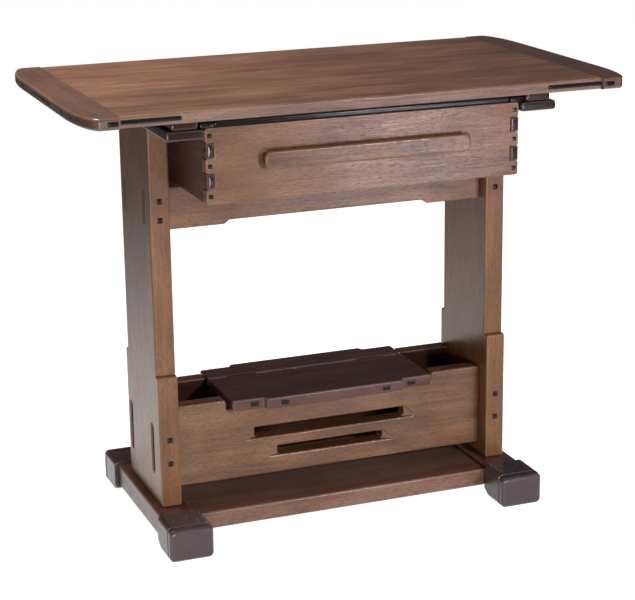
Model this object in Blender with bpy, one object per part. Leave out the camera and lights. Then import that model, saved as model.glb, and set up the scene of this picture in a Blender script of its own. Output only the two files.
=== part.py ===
"""Trestle serving table in mahogany with ebony pegs, a hung drawer and a lidded box between its legs.

X runs along the top, -Y is the front, +Z is up. The origin is on the floor under the middle of the top.
All sizes are in metres.
"""
import math

import bmesh
import bpy

# Gap left between two pieces that touch, and the running gaps of the moving pieces
FIT = 0.0003
DRAWER_SIDE_GAP = 0.0026
LID_END_GAP = 0.006
LID_JOINT_GAP = 0.007

# Overall height and the top
HEIGHT = 0.740
TOP_THICK = 0.019
PANEL_LENGTH = 0.800
PANEL_DEPTH = 0.500
PANEL_ARRIS = 0.004
END_WIDTH = 0.058
END_PROUD = 0.008
END_CORNER_ACROSS = 0.027
END_CORNER_ALONG = 0.115
END_ARRIS = 0.006
TONGUE_THICK = 0.006
TONGUE_REACH = 0.012
TONGUE_SHOULDER = 0.030

# Ebony splines across the joints of the top
SPLINE_HEIGHT = 0.006
SPLINE_DEPTH = 0.008
SPLINE_PROUD = 0.0015
SPLINE_IN_PANEL = 0.096
SPLINE_IN_END = 0.020

# Legs
LEG_SPACING = 0.591
LEG_THICK = 0.034
LEG_DEPTH = 0.168
LEG_STEP_OUT = 0.011
LEG_STEP_Z = 0.2735
LEG_STEP_RISE = 0.0065
LEG_ARRIS = 0.003
LEG_CORNER = 0.004
STUB_THICK = 0.016
STUB_WIDTH = 0.100
STUB_DOWN = 0.025
STUB_ROOT = 0.0125
STUB_TOP_GAP = 0.0008
PEG_SIZE = 0.0095
PEG_DEPTH = 0.010
PEG_PROUD = 0.001

# Bearers over the legs
FLANGE_WIDTH = 0.062
FLANGE_THICK = 0.0153
NECK_WIDTH = 0.0435
NECK_THICK = 0.0132
BEARER_LENGTH = 0.473
NECK_SETBACK = 0.003
BEARER_ARRIS = 0.004
BEARER_CORNER = 0.006
SCREW_INSET = 0.0765
SCREW_SHANK = 0.0022
SCREW_HEAD = 0.0045
SCREW_HEAD_RIM = 0.002
SCREW_TAPER = 0.0025
SCREW_POINT = 0.004
SCREW_INTO_TOP = 0.012

# Aprons under the drawer
APRON_THICK = 0.019
APRON_HEIGHT = 0.070
APRON_DRAWER_GAP = 0.0064
APRON_FRONT_Y = -0.0505
APRON_REAR_Y = 0.0615
APRON_LIFT = 0.0065
APRON_LIFT_HALF = 0.171
APRON_LIFT_SLOPE = 0.009
APRON_ARRIS = 0.003
APRON_TENON_HEIGHT = 0.057
APRON_PEG_PITCH = 0.031
TENON_THICK = 0.0135

# Rails of the lower box
RAIL_THICK = 0.028
RAIL_HEIGHT = 0.141
RAIL_BOTTOM = 0.0725
RAIL_FRONT_Y = -0.051
RAIL_REAR_Y = 0.075
RAIL_ARRIS = 0.004
RAIL_TENON_HEIGHT = 0.084
RAIL_PEG_PITCH = 0.041
RAIL_PEG_LIFT = 0.005
NOTCH_DEPTH = 0.0175
NOTCH_EASE = 0.006
SLOT_UPPER_LENGTH = 0.275
SLOT_UPPER_HEIGHT = 0.0195
SLOT_UPPER_RISE = 0.0759
SLOT_LOWER_LENGTH = 0.194
SLOT_LOWER_HEIGHT = 0.0167
SLOT_LOWER_RISE = 0.0391
SLOT_CORNER = 0.006
RUNOUT_LENGTH = 0.018
RUNOUT_DEPTH = 0.007
BOX_FLOOR_THICK = 0.006
BOX_FLOOR_RISE = 0.008
BOX_FLOOR_TONGUE = 0.006

# Lid of the lower box
LID_LENGTH = 0.362
LID_THICK = 0.019
LID_FRONT_Y = -0.080
LID_STEP_OUT = 0.010
LID_STEP_INSET = 0.059
LID_STEP_SLOPE = 0.005
LID_HINGE_Y = 0.050
STRIP_REAR_Y = 0.101
LID_ARRIS = 0.004
LID_CORNER = 0.006
LID_PEG_LENGTH = 0.015
LID_PEG_HEIGHT = 0.009
LID_PEG_OUTER_INSET = 0.0385
LID_PEG_INNER_INSET = 0.089
HINGE_INSET = 0.061
HINGE_LENGTH = 0.050
HINGE_KNUCKLES = 3
HINGE_KNUCKLE = 0.0024
HINGE_PIN = 0.0012
HINGE_LEAF_THICK = 0.0012
HINGE_LEAF_DROP = 0.0145
HINGE_AXIS_DROP = 0.0028
HINGE_LEAF_CLEAR = 0.0006

# Shelf board between the feet
SHELF_THICK = 0.030
SHELF_TOE_GAP = 0.0055
SHELF_BOTTOM = 0.0145
SHELF_ARRIS = 0.004
SHELF_TENON_WIDTH = 0.180
SHELF_TENON_THICK = 0.014
SHELF_TENON_REACH = 0.018

# Feet
FOOT_LENGTH = 0.411
BEAM_WIDTH = 0.061
BEAM_HEIGHT = 0.041
BEAM_CLEAR = 0.011
BEAM_ARRIS = 0.006
TOE_LENGTH = 0.075
TOE_WIDTH = 0.074
TOE_HEIGHT = 0.055
TOE_ARRIS = 0.008
TOE_CORNER = 0.0096
TOE_TENON_WIDTH = 0.030
TOE_TENON_HEIGHT = 0.020
TOE_TENON_REACH = 0.030

# Drawer
DRAWER_SETBACK = 0.0075
DRAWER_REAR_SPACE = 0.0455
DRAWER_HEIGHT = 0.1178
DRAWER_FRONT_THICK = 0.018
DRAWER_SIDE_THICK = 0.013
DRAWER_BACK_THICK = 0.013
DRAWER_BOTTOM_THICK = 0.006
DRAWER_BOTTOM_RISE = 0.010
DRAWER_BOTTOM_TONGUE = 0.005
DRAWER_ARRIS = 0.002
DRAWER_CORNER = 0.003
FINGERS = 5
FINGER_PROUD = 0.001
RUNNER_WIDTH = 0.024
RUNNER_THICK = 0.0077
RUNNER_NECK_GAP = 0.00265
RUNNER_PROUD = 0.002
STOP_LENGTH = 0.024
TOP_STRIP_HEIGHT = 0.0085
TOP_STRIP_THICK = 0.014
TOP_STRIP_SETBACK = 0.002
PULL_LENGTH = 0.348
PULL_HEIGHT = 0.0285
PULL_PROUD = 0.015
PULL_RISE = 0.063
PULL_ARRIS = 0.004
PULL_GROOVE_LENGTH = 0.300
PULL_GROOVE_WIDTH = 0.007
PULL_GROOVE_DEPTH = 0.012

# Heights from the floor up
BEAM_TOP = BEAM_CLEAR + BEAM_HEIGHT
LEG_BOTTOM = BEAM_TOP + FIT
RAIL_TOP = RAIL_BOTTOM + RAIL_HEIGHT
RAIL_MIDDLE = RAIL_BOTTOM + RAIL_HEIGHT / 2
NOTCH_FLOOR = RAIL_TOP - NOTCH_DEPTH
LID_BOTTOM = NOTCH_FLOOR + FIT
LID_TOP = LID_BOTTOM + LID_THICK
LID_AXIS_Z = LID_TOP - HINGE_AXIS_DROP

# Heights from the top down
TOP_UNDER = HEIGHT - TOP_THICK
TOP_MIDDLE = HEIGHT - TOP_THICK / 2
NECK_TOP = TOP_UNDER - FIT
NECK_BOTTOM = NECK_TOP - NECK_THICK
FLANGE_TOP = NECK_BOTTOM - FIT
FLANGE_BOTTOM = FLANGE_TOP - FLANGE_THICK
LEG_TOP = FLANGE_BOTTOM - FIT
RUNNER_BOTTOM = FLANGE_TOP + FIT
DRAWER_TOP = RUNNER_BOTTOM - FIT
DRAWER_LOW = DRAWER_TOP - DRAWER_HEIGHT
APRON_TOP = DRAWER_LOW - APRON_DRAWER_GAP
APRON_BOTTOM = APRON_TOP - APRON_HEIGHT
APRON_MIDDLE = APRON_TOP - (APRON_HEIGHT - APRON_LIFT) / 2

# Places along the table
LEG_X = LEG_SPACING / 2
LEG_INNER = LEG_X - LEG_THICK / 2
LEG_OUTER = LEG_X + LEG_THICK / 2
LEG_FRONT = LEG_DEPTH / 2
LEG_FRONT_LOW = LEG_FRONT + LEG_STEP_OUT
PANEL_END = PANEL_LENGTH / 2
PANEL_FRONT = PANEL_DEPTH / 2
END_INNER = PANEL_END + FIT
END_OUTER = END_INNER + END_WIDTH
END_FRONT = PANEL_FRONT + END_PROUD
FLANGE_INNER = LEG_X - FLANGE_WIDTH / 2
NECK_INNER = LEG_X - NECK_WIDTH / 2
BEAM_INNER = LEG_X - BEAM_WIDTH / 2
FOOT_FRONT = FOOT_LENGTH / 2
TOE_INNER_Y = FOOT_FRONT - TOE_LENGTH
SHELF_FRONT = TOE_INNER_Y - SHELF_TOE_GAP
DRAWER_HALF = FLANGE_INNER - DRAWER_SIDE_GAP
BEARER_END = BEARER_LENGTH / 2
SCREW_Y = BEARER_END - SCREW_INSET
DRAWER_FRONT_Y = DRAWER_SETBACK - BEARER_END
DRAWER_REAR_Y = BEARER_END - DRAWER_REAR_SPACE
RUNNER_OUTER = NECK_INNER - RUNNER_NECK_GAP
RUNNER_INNER = RUNNER_OUTER - RUNNER_WIDTH
LID_REAR_Y = LID_HINGE_Y - LID_JOINT_GAP / 2
STRIP_FRONT_Y = LID_HINGE_Y + LID_JOINT_GAP / 2
LID_HALF = LID_LENGTH / 2
LID_STEP_HALF = LID_HALF - LID_STEP_INSET
LID_PEG_OUTER_X = LID_HALF - LID_PEG_OUTER_INSET
LID_PEG_INNER_X = LID_HALF - LID_PEG_INNER_INSET
HINGE_X = LID_HALF - HINGE_INSET
NOTCH_HALF = LID_HALF + LID_END_GAP
FINGER_PITCH = DRAWER_HEIGHT / FINGERS

# How finely round forms are cut
ARRIS_STEPS = 2
ROUND_STEPS = 5
END_STEPS = 7
TURN_STEPS = 12

MAHOGANY = ("mahogany", (0.150, 0.064, 0.034), 0.42, 0.0)
DARK_MAHOGANY = ("dark_mahogany", (0.060, 0.026, 0.020), 0.38, 0.0)
EBONY = ("ebony", (0.012, 0.010, 0.010), 0.30, 0.0)
DRAWER_WOOD = ("drawer_wood", (0.230, 0.130, 0.075), 0.55, 0.0)
BRASS = ("brass", (0.520, 0.360, 0.140), 0.35, 1.0)
STEEL = ("steel", (0.420, 0.420, 0.420), 0.40, 1.0)


def clear_scene():
    for old in list(bpy.data.objects):
        bpy.data.objects.remove(old, do_unlink=True)


def get_material(look):
    name, colour, roughness, metallic = look
    found = bpy.data.materials.get(name)
    if found:
        return found
    made = bpy.data.materials.new(name)
    made.use_nodes = True
    shader = made.node_tree.nodes["Principled BSDF"]
    shader.inputs["Base Color"].default_value = (*colour, 1.0)
    shader.inputs["Roughness"].default_value = roughness
    shader.inputs["Metallic"].default_value = metallic
    return made


# Outlines: closed lists of (u, v) points, anticlockwise

def rounded(corners, steps=ARRIS_STEPS):
    """Outline through (u, v, radius) corners, each corner turned into an arc of its radius."""
    points = []
    count = len(corners)
    for index, (u, v, radius) in enumerate(corners):
        before = corners[index - 1]
        after = corners[(index + 1) % count]
        if radius <= 0.0:
            points.append((u, v))
            continue
        back = math.hypot(before[0] - u, before[1] - v)
        ahead = math.hypot(after[0] - u, after[1] - v)
        in_dir = ((before[0] - u) / back, (before[1] - v) / back)
        out_dir = ((after[0] - u) / ahead, (after[1] - v) / ahead)
        half = math.acos(max(-1.0, min(1.0, in_dir[0] * out_dir[0] + in_dir[1] * out_dir[1]))) / 2
        reach = radius / math.tan(half)
        middle = (in_dir[0] + out_dir[0], in_dir[1] + out_dir[1])
        size = math.hypot(*middle)
        away = radius / math.sin(half) / size
        centre = (u + middle[0] * away, v + middle[1] * away)
        start = math.atan2(v + in_dir[1] * reach - centre[1], u + in_dir[0] * reach - centre[0])
        end = math.atan2(v + out_dir[1] * reach - centre[1], u + out_dir[0] * reach - centre[0])
        sweep = (end - start + math.pi) % (2 * math.pi) - math.pi
        for step in range(steps + 1):
            angle = start + sweep * step / steps
            points.append((centre[0] + radius * math.cos(angle), centre[1] + radius * math.sin(angle)))
    return points


def rectangle(u0, v0, u1, v1, radius=0.0):
    return rounded([(u0, v0, radius), (u1, v0, radius), (u1, v1, radius), (u0, v1, radius)])


def stadium(u, v, width, height):
    """Upright slot outline, round at both ends, or lying when it is wider than it is high."""
    radius = min(width, height) / 2
    straight = max(width, height) / 2 - radius
    upright = height > width
    points = []
    for end in (-1, 1):
        for step in range(ROUND_STEPS + 1):
            angle = math.pi * step / ROUND_STEPS + (math.pi if end < 0 else 0.0)
            along = end * straight + radius * math.sin(angle)
            across = radius * math.cos(angle)
            points.append((u + across, v + along) if upright else (u + along, v - across))
    return points


def inset(outline, distance):
    """The outline moved inwards by a distance, with mitred corners."""
    moved = []
    count = len(outline)
    for index, (u, v) in enumerate(outline):
        before = outline[index - 1]
        after = outline[(index + 1) % count]
        first = math.hypot(u - before[0], v - before[1])
        second = math.hypot(after[0] - u, after[1] - v)
        normal_a = ((v - before[1]) / first, (before[0] - u) / first)
        normal_b = ((after[1] - v) / second, (u - after[0]) / second)
        scale = distance / (1 + normal_a[0] * normal_b[0] + normal_a[1] * normal_b[1])
        moved.append((u - scale * (normal_a[0] + normal_b[0]), v - scale * (normal_a[1] + normal_b[1])))
    return moved


# Solids: an outline in one plane, carried along the third axis, with softened arrises

PLANES = {
    "XY": lambda u, v, w: (u, v, w),
    "XZ": lambda u, v, w: (u, w, v),
    "YZ": lambda u, v, w: (w, u, v),
}


def add_prism(bm, outline, plane, low, high, arris=0.0):
    place = PLANES[plane]
    levels = [(low, 0.0), (high, 0.0)]
    if arris > 0.0:
        turns = [math.pi / 2 * step / ARRIS_STEPS for step in range(ARRIS_STEPS + 1)]
        rise = [(low + arris * (1 - math.cos(turn)), arris * (1 - math.sin(turn))) for turn in turns]
        fall = [(low + high - depth, shrink) for depth, shrink in reversed(rise)]
        levels = rise + fall
    rings = []
    for depth, shrink in levels:
        ring = inset(outline, shrink) if shrink > 1e-9 else outline
        rings.append([bm.verts.new(place(u, v, depth)) for u, v in ring])
    count = len(outline)
    for lower, upper in zip(rings, rings[1:]):
        for index in range(count):
            following = (index + 1) % count
            bm.faces.new((lower[index], lower[following], upper[following], upper[index]))
    bm.faces.new(list(reversed(rings[0])))
    bm.faces.new(rings[-1])


def add_turned(bm, profile, x, y):
    """Upright turned solid from (radius, z) points, first and last on the axis."""
    rings = []
    for radius, z in profile[1:-1]:
        turns = [2 * math.pi * step / TURN_STEPS for step in range(TURN_STEPS)]
        rings.append([bm.verts.new((x + radius * math.cos(t), y + radius * math.sin(t), z)) for t in turns])
    for lower, upper in zip(rings, rings[1:]):
        for index in range(TURN_STEPS):
            following = (index + 1) % TURN_STEPS
            bm.faces.new((lower[index], lower[following], upper[following], upper[index]))
    for ring, end in ((rings[0], profile[0]), (rings[-1], profile[-1])):
        tip = bm.verts.new((x, y, end[1]))
        for index in range(TURN_STEPS):
            bm.faces.new((tip, ring[index], ring[(index + 1) % TURN_STEPS]))


def finish(bm, name, look, parent=None):
    """Object from a world-placed mesh: its origin goes to the middle of its box."""
    bmesh.ops.recalc_face_normals(bm, faces=bm.faces)
    lows = [min(vert.co[axis] for vert in bm.verts) for axis in range(3)]
    highs = [max(vert.co[axis] for vert in bm.verts) for axis in range(3)]
    middle = [(low + high) / 2 for low, high in zip(lows, highs)]
    bmesh.ops.translate(bm, verts=bm.verts, vec=[-value for value in middle])
    mesh = bpy.data.meshes.new(name)
    bm.to_mesh(mesh)
    bm.free()
    made = bpy.data.objects.new(name, mesh)
    bpy.context.scene.collection.objects.link(made)
    made.location = middle
    if parent:
        made.parent = parent
        made.location = [value - base for value, base in zip(middle, parent.location)]
    if look:
        mesh.materials.append(get_material(look))
    return made


def board(name, outline, plane, low, high, arris, look, parent=None):
    bm = bmesh.new()
    add_prism(bm, outline, plane, low, high, arris)
    return finish(bm, name, look, parent)


def shape_with(target, prisms, operation, label):
    """Cut prisms out of an object or join them to it with a hidden tool object."""
    bm = bmesh.new()
    for prism in prisms:
        add_prism(bm, *prism)
    use_tool(target, finish(bm, f"{target.name}.{label}", None), operation, label)


def use_tool(target, tool, operation, label):
    tool.hide_render = True
    tool.display_type = "WIRE"
    step = target.modifiers.new(label, "BOOLEAN")
    step.operation = operation
    step.solver = "EXACT"
    step.object = tool


def empty(name, location):
    made = bpy.data.objects.new(name, None)
    bpy.context.scene.collection.objects.link(made)
    made.location = location
    return made


# Pegs: a small block let into a flat face, at (x, z, width, height, face, outward)

def peg_prism(x, z, width, height, face, outward):
    """A peg from its depth inside the face to a little proud of it."""
    outline = rectangle(x - width / 2, z - height / 2, x + width / 2, z + height / 2)
    ends = sorted((face - outward * PEG_DEPTH, face + outward * PEG_PROUD))
    return outline, "XZ", ends[0], ends[1]


def peg_hole(x, z, width, height, face, outward):
    """The hole for that peg, open past the face."""
    wide = width / 2 + FIT
    high = height / 2 + FIT
    ends = sorted((face - outward * (PEG_DEPTH + FIT), face + outward * PEG_DEPTH))
    return rectangle(x - wide, z - high, x + wide, z + high), "XZ", ends[0], ends[1]


def leg_peg_places(side):
    places = []
    for face, middle, pitch in ((LEG_FRONT, APRON_MIDDLE, APRON_PEG_PITCH),
                                (LEG_FRONT_LOW, RAIL_MIDDLE + RAIL_PEG_LIFT, RAIL_PEG_PITCH)):
        for half in (-0.5, 0.5):
            places.append((side * LEG_X, middle + half * pitch, PEG_SIZE, PEG_SIZE, -face, -1))
    return places


def lid_peg_places():
    middle = (LID_BOTTOM + LID_TOP) / 2
    rows = ((LID_PEG_OUTER_X, LID_FRONT_Y), (LID_PEG_INNER_X, LID_FRONT_Y - LID_STEP_OUT))
    return [(side * x, middle, LID_PEG_LENGTH, LID_PEG_HEIGHT, face, -1)
            for x, face in rows for side in (-1, 1)]


def fit_pegs(target, name, places, parent=None):
    """Drill an object for its pegs and make one peg for each hole."""
    shape_with(target, [peg_hole(*place) for place in places], "DIFFERENCE", "peg_holes")
    for number, place in enumerate(places, 1):
        board(f"{name}_{number}", *peg_prism(*place), 0.0, EBONY, parent)


# Screws that hold the top down on the bearers

def screw_profile(grow):
    low = FLANGE_BOTTOM
    tip = TOP_UNDER + SCREW_INTO_TOP
    neck = low + SCREW_HEAD_RIM + SCREW_TAPER
    return [(0.0, low - grow), (SCREW_HEAD + grow, low - grow), (SCREW_HEAD + grow, low + SCREW_HEAD_RIM),
            (SCREW_SHANK + grow, neck), (SCREW_SHANK + grow, tip - SCREW_POINT), (0.0, tip + grow)]


def screw_places(side):
    return [(side * LEG_X, -SCREW_Y), (side * LEG_X, SCREW_Y)]


def screws(name, places, grow, look):
    bm = bmesh.new()
    for x, y in places:
        add_turned(bm, screw_profile(grow), x, y)
    return finish(bm, name, look)


def drill_screws(target, places):
    use_tool(target, screws(f"{target.name}.screw_holes", places, FIT, None), "DIFFERENCE", "screw_holes")


# The top: a panel between two proud end boards

def build_top():
    panel = board("top_panel", rectangle(-PANEL_END, -PANEL_FRONT, PANEL_END, PANEL_FRONT), "XY",
                  TOP_UNDER, HEIGHT, PANEL_ARRIS, MAHOGANY)
    tongue_half = PANEL_FRONT - TONGUE_SHOULDER
    tongue_low = TOP_MIDDLE - TONGUE_THICK / 2
    tongue_high = TOP_MIDDLE + TONGUE_THICK / 2
    tongues = []
    for side in (-1, 1):
        span = sorted((side * (PANEL_END - TONGUE_REACH), side * (PANEL_END + TONGUE_REACH)))
        plan = rectangle(span[0], -tongue_half, span[1], tongue_half)
        tongues.append((plan, "XY", tongue_low, tongue_high))
    shape_with(panel, tongues, "UNION", "tongues")
    corners = [(side, outward) for side in (-1, 1) for outward in (-1, 1)]
    low = TOP_MIDDLE - SPLINE_HEIGHT / 2
    high = TOP_MIDDLE + SPLINE_HEIGHT / 2
    slots = [(spline_slot(*corner), "XY", low - FIT, high + FIT) for corner in corners]
    shape_with(panel, slots, "DIFFERENCE", "spline_slots")
    drill_screws(panel, screw_places(-1) + screw_places(1))
    for side, label in ((-1, "left"), (1, "right")):
        plan = end_outline(side)
        end = board(f"breadboard_end_{label}", plan, "XY", TOP_UNDER, HEIGHT, END_ARRIS, MAHOGANY)
        reach = sorted((side * (END_INNER - END_WIDTH), side * (PANEL_END + TONGUE_REACH + FIT)))
        groove = rectangle(reach[0], -tongue_half - FIT, reach[1], tongue_half + FIT)
        shape_with(end, [(groove, "XY", tongue_low - FIT, tongue_high + FIT)], "DIFFERENCE", "groove")
        slots = [(spline_slot(side, outward), "XY", low - FIT, high + FIT) for outward in (-1, 1)]
        shape_with(end, slots, "DIFFERENCE", "spline_slots")
        for outward, place in ((-1, "front"), (1, "rear")):
            plan = spline_plan(side, outward)
            board(f"breadboard_spline_{label}_{place}", plan, "XY", low, high, 0.0, EBONY)


def mirrored(points, side, outward):
    """Points of the right rear corner moved to another corner, still anticlockwise."""
    moved = [(side * x, outward * y) for x, y in points]
    return moved if side * outward > 0 else list(reversed(moved))


def spline_plan(side, outward):
    """Plan of a spline: a step out where it passes from the panel into the prouder end board."""
    start = PANEL_END - SPLINE_IN_PANEL
    joint = END_INNER + FIT
    end = END_INNER + SPLINE_IN_END
    bottom = PANEL_FRONT - SPLINE_DEPTH
    near = PANEL_FRONT + SPLINE_PROUD
    far = END_FRONT + SPLINE_PROUD
    points = [(start, bottom), (end, bottom), (end, far), (joint, far), (joint, near), (start, near)]
    return mirrored(points, side, outward)


def spline_slot(side, outward):
    """Plan of the slot for a spline, open past the edge of the top."""
    start = PANEL_END - SPLINE_IN_PANEL - FIT
    end = END_INNER + SPLINE_IN_END + FIT
    bottom = PANEL_FRONT - SPLINE_DEPTH - FIT
    far = END_FRONT + SPLINE_DEPTH
    points = [(start, bottom), (end, bottom), (end, far), (start, far)]
    return mirrored(points, side, outward)


def end_outline(side):
    """Plan of an end board: straight inside, outer corners eased to quarter ellipses."""
    straight = END_FRONT - END_CORNER_ALONG
    shoulder = END_OUTER - END_CORNER_ACROSS
    turns = [math.pi / 2 * step / END_STEPS for step in range(END_STEPS + 1)]
    front = [(shoulder + END_CORNER_ACROSS * math.sin(t), -straight - END_CORNER_ALONG * math.cos(t))
             for t in turns]
    rear = [(x, -y) for x, y in reversed(front)]
    points = [(END_INNER, -END_FRONT)] + front + rear + [(END_INNER, END_FRONT)]
    if side < 0:
        points = [(-x, y) for x, y in reversed(points)]
    return points


# Bearers: a flange on each leg and a narrower neck up to the top

def stub_plan(x, grow):
    """Plan of the stub tenon on a leg, or of the mortise that holds it."""
    half_x = STUB_THICK / 2 + grow
    half_y = STUB_WIDTH / 2 + grow
    return rectangle(x - half_x, -half_y, x + half_x, half_y)


def build_bearers():
    for side, label in ((-1, "left"), (1, "right")):
        half = BEARER_END
        wide = FLANGE_WIDTH / 2
        slim = NECK_WIDTH / 2
        x = side * LEG_X
        plan = rectangle(x - wide, -half, x + wide, half, BEARER_CORNER)
        flange = board(f"bearer_flange_{label}", plan, "XY", FLANGE_BOTTOM, FLANGE_TOP, BEARER_ARRIS,
                       MAHOGANY)
        mortise = (stub_plan(x, FIT), "XY", FLANGE_BOTTOM - FIT, FLANGE_TOP + FIT)
        shape_with(flange, [mortise], "DIFFERENCE", "mortise")
        drill_screws(flange, screw_places(side))
        reach = half - NECK_SETBACK
        plan = rectangle(x - slim, -reach, x + slim, reach, BEARER_CORNER)
        neck = board(f"bearer_neck_{label}", plan, "XY", NECK_BOTTOM, NECK_TOP, BEARER_ARRIS, MAHOGANY)
        drill_screws(neck, screw_places(side))
        for place, end in zip(screw_places(side), ("front", "rear")):
            screws(f"bearer_screw_{label}_{end}", [place], 0.0, STEEL)


# Legs: slabs with a stepped foot part, mortised for the aprons and the box rails

def leg_outline():
    corner = LEG_CORNER
    step_top = LEG_STEP_Z + LEG_STEP_RISE
    return rounded([
        (-LEG_FRONT_LOW, LEG_BOTTOM, corner), (LEG_FRONT_LOW, LEG_BOTTOM, corner),
        (LEG_FRONT_LOW, LEG_STEP_Z, corner), (LEG_FRONT, step_top, 0.0),
        (LEG_FRONT, LEG_TOP, corner), (-LEG_FRONT, LEG_TOP, corner),
        (-LEG_FRONT, step_top, 0.0), (-LEG_FRONT_LOW, LEG_STEP_Z, corner)])


def mortises(side, grow):
    """Through mortises of one leg, larger all round than the tenons by the growth."""
    span = sorted((side * (LEG_INNER - FIT - grow), side * (LEG_OUTER + grow)))
    places = [(y, APRON_MIDDLE, APRON_TENON_HEIGHT) for y in (APRON_FRONT_Y, APRON_REAR_Y)]
    places += [(y, RAIL_MIDDLE, RAIL_TENON_HEIGHT) for y in (RAIL_FRONT_Y, RAIL_REAR_Y)]
    width = TENON_THICK + 2 * grow
    return [(stadium(y, z, width, height + 2 * grow), "YZ", *span) for y, z, height in places]


def build_legs():
    for side, label in ((-1, "left"), (1, "right")):
        span = sorted((side * LEG_INNER, side * LEG_OUTER))
        leg = board(f"leg_{label}", leg_outline(), "YZ", *span, LEG_ARRIS, MAHOGANY)
        x = side * LEG_X
        stub = stub_plan(x, 0.0)
        stubs = [(stub, "XY", LEG_BOTTOM - STUB_DOWN, LEG_BOTTOM + STUB_DOWN),
                 (stub, "XY", LEG_TOP - STUB_ROOT, FLANGE_TOP - STUB_TOP_GAP)]
        shape_with(leg, stubs, "UNION", "stub_tenons")
        shape_with(leg, mortises(side, FIT), "DIFFERENCE", "mortises")
        fit_pegs(leg, f"leg_peg_{label}", leg_peg_places(side))


def tenons(y, z, height):
    """Through tenons at both ends of an apron or rail, rooted inside its end."""
    root = LEG_INNER - TENON_THICK
    outline = stadium(y, z, TENON_THICK, height)
    return [(outline, "YZ", -LEG_OUTER, -root), (outline, "YZ", root, LEG_OUTER)]


# Aprons: rails under the drawer with a stepped lower edge

def build_aprons():
    half = LEG_INNER - FIT
    lift = APRON_LIFT_HALF
    foot = APRON_LIFT_HALF + APRON_LIFT_SLOPE
    low = APRON_BOTTOM
    high = APRON_BOTTOM + APRON_LIFT
    ease = APRON_LIFT / 2
    outline = rounded([
        (-half, low, 0.0), (-foot, low, ease), (-lift, high, ease), (lift, high, ease), (foot, low, ease),
        (half, low, 0.0), (half, APRON_TOP, 0.0), (-half, APRON_TOP, 0.0)])
    for name, y in (("apron_front", APRON_FRONT_Y), ("apron_rear", APRON_REAR_Y)):
        apron = board(name, outline, "XZ", y - APRON_THICK / 2, y + APRON_THICK / 2, APRON_ARRIS, MAHOGANY)
        shape_with(apron, tenons(y, APRON_MIDDLE, APRON_TENON_HEIGHT), "UNION", "tenons")


# Lower box: two notched rails, a floor, a fixed strip and a hinged lid

def build_box():
    half = LEG_INNER - FIT
    outline = rounded([
        (-half, RAIL_BOTTOM, 0.0), (half, RAIL_BOTTOM, 0.0), (half, RAIL_TOP, 0.0),
        (NOTCH_HALF, RAIL_TOP, NOTCH_EASE), (NOTCH_HALF, NOTCH_FLOOR, 0.0),
        (-NOTCH_HALF, NOTCH_FLOOR, 0.0), (-NOTCH_HALF, RAIL_TOP, NOTCH_EASE), (-half, RAIL_TOP, 0.0)])
    floor_front = RAIL_FRONT_Y + RAIL_THICK / 2 - BOX_FLOOR_TONGUE
    floor_rear = RAIL_REAR_Y - RAIL_THICK / 2 + BOX_FLOOR_TONGUE
    floor_low = RAIL_BOTTOM + BOX_FLOOR_RISE
    floor_high = floor_low + BOX_FLOOR_THICK
    groove = rectangle(-half - FIT, floor_front - FIT, half + FIT, floor_rear + FIT)
    for name, y, slotted in (("box_rail_front", RAIL_FRONT_Y, True), ("box_rail_rear", RAIL_REAR_Y, False)):
        near = y - RAIL_THICK / 2
        far = y + RAIL_THICK / 2
        rail = board(name, outline, "XZ", near, far, RAIL_ARRIS, MAHOGANY)
        shape_with(rail, tenons(y, RAIL_MIDDLE, RAIL_TENON_HEIGHT), "UNION", "tenons")
        shape_with(rail, [(groove, "XY", floor_low - FIT, floor_high + FIT)], "DIFFERENCE", "floor_groove")
        if slotted:
            shape_with(rail, slot_openings(near, far), "DIFFERENCE", "slots")
            shape_with(rail, slot_runouts(near), "DIFFERENCE", "slot_runouts")
    board("box_floor", rectangle(-half, floor_front, half, floor_rear), "XY",
          floor_low, floor_high, 0.0, DRAWER_WOOD)


def slot_places():
    """Half length, lower edge and upper edge of each slot in the front rail."""
    sizes = ((SLOT_UPPER_RISE, SLOT_UPPER_LENGTH, SLOT_UPPER_HEIGHT),
             (SLOT_LOWER_RISE, SLOT_LOWER_LENGTH, SLOT_LOWER_HEIGHT))
    return [(length / 2, RAIL_BOTTOM + rise - height / 2, RAIL_BOTTOM + rise + height / 2)
            for rise, length, height in sizes]


def slot_openings(near, far):
    """Slots right through the front rail, with eased corners."""
    return [(rectangle(-half, low, half, high, SLOT_CORNER), "XZ", near - RAIL_THICK, far + RAIL_THICK)
            for half, low, high in slot_places()]


def slot_runouts(near):
    """Wedges past both ends of each slot, deepest at the slot and running out on the face of the rail."""
    front = near - RUNOUT_DEPTH
    deepest = near + RUNOUT_DEPTH * (1 + SLOT_CORNER / RUNOUT_LENGTH)
    wedges = []
    for half, low, high in slot_places():
        root = half - SLOT_CORNER
        plan = [(root, front), (half + 2 * RUNOUT_LENGTH, front), (root, deepest)]
        wedges += [(mirrored(plan, side, 1), "XY", low, high) for side in (-1, 1)]
    return wedges


def stepped_plan(end_y, straight_y):
    """Plan of a lid board: one straight long edge, the other one proud in its middle stretch."""
    outward = 1 if end_y > straight_y else -1
    half = LID_HALF
    inner = LID_STEP_HALF
    outer = LID_STEP_HALF + LID_STEP_SLOPE
    proud = end_y + outward * LID_STEP_OUT
    ease = LID_STEP_SLOPE / 2
    corner = LID_CORNER
    points = rounded([
        (-half, end_y, corner), (-outer, end_y, ease), (-inner, proud, ease),
        (inner, proud, ease), (outer, end_y, ease), (half, end_y, corner),
        (half, straight_y, corner), (-half, straight_y, corner)])
    return points if outward < 0 else list(reversed(points))


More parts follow.
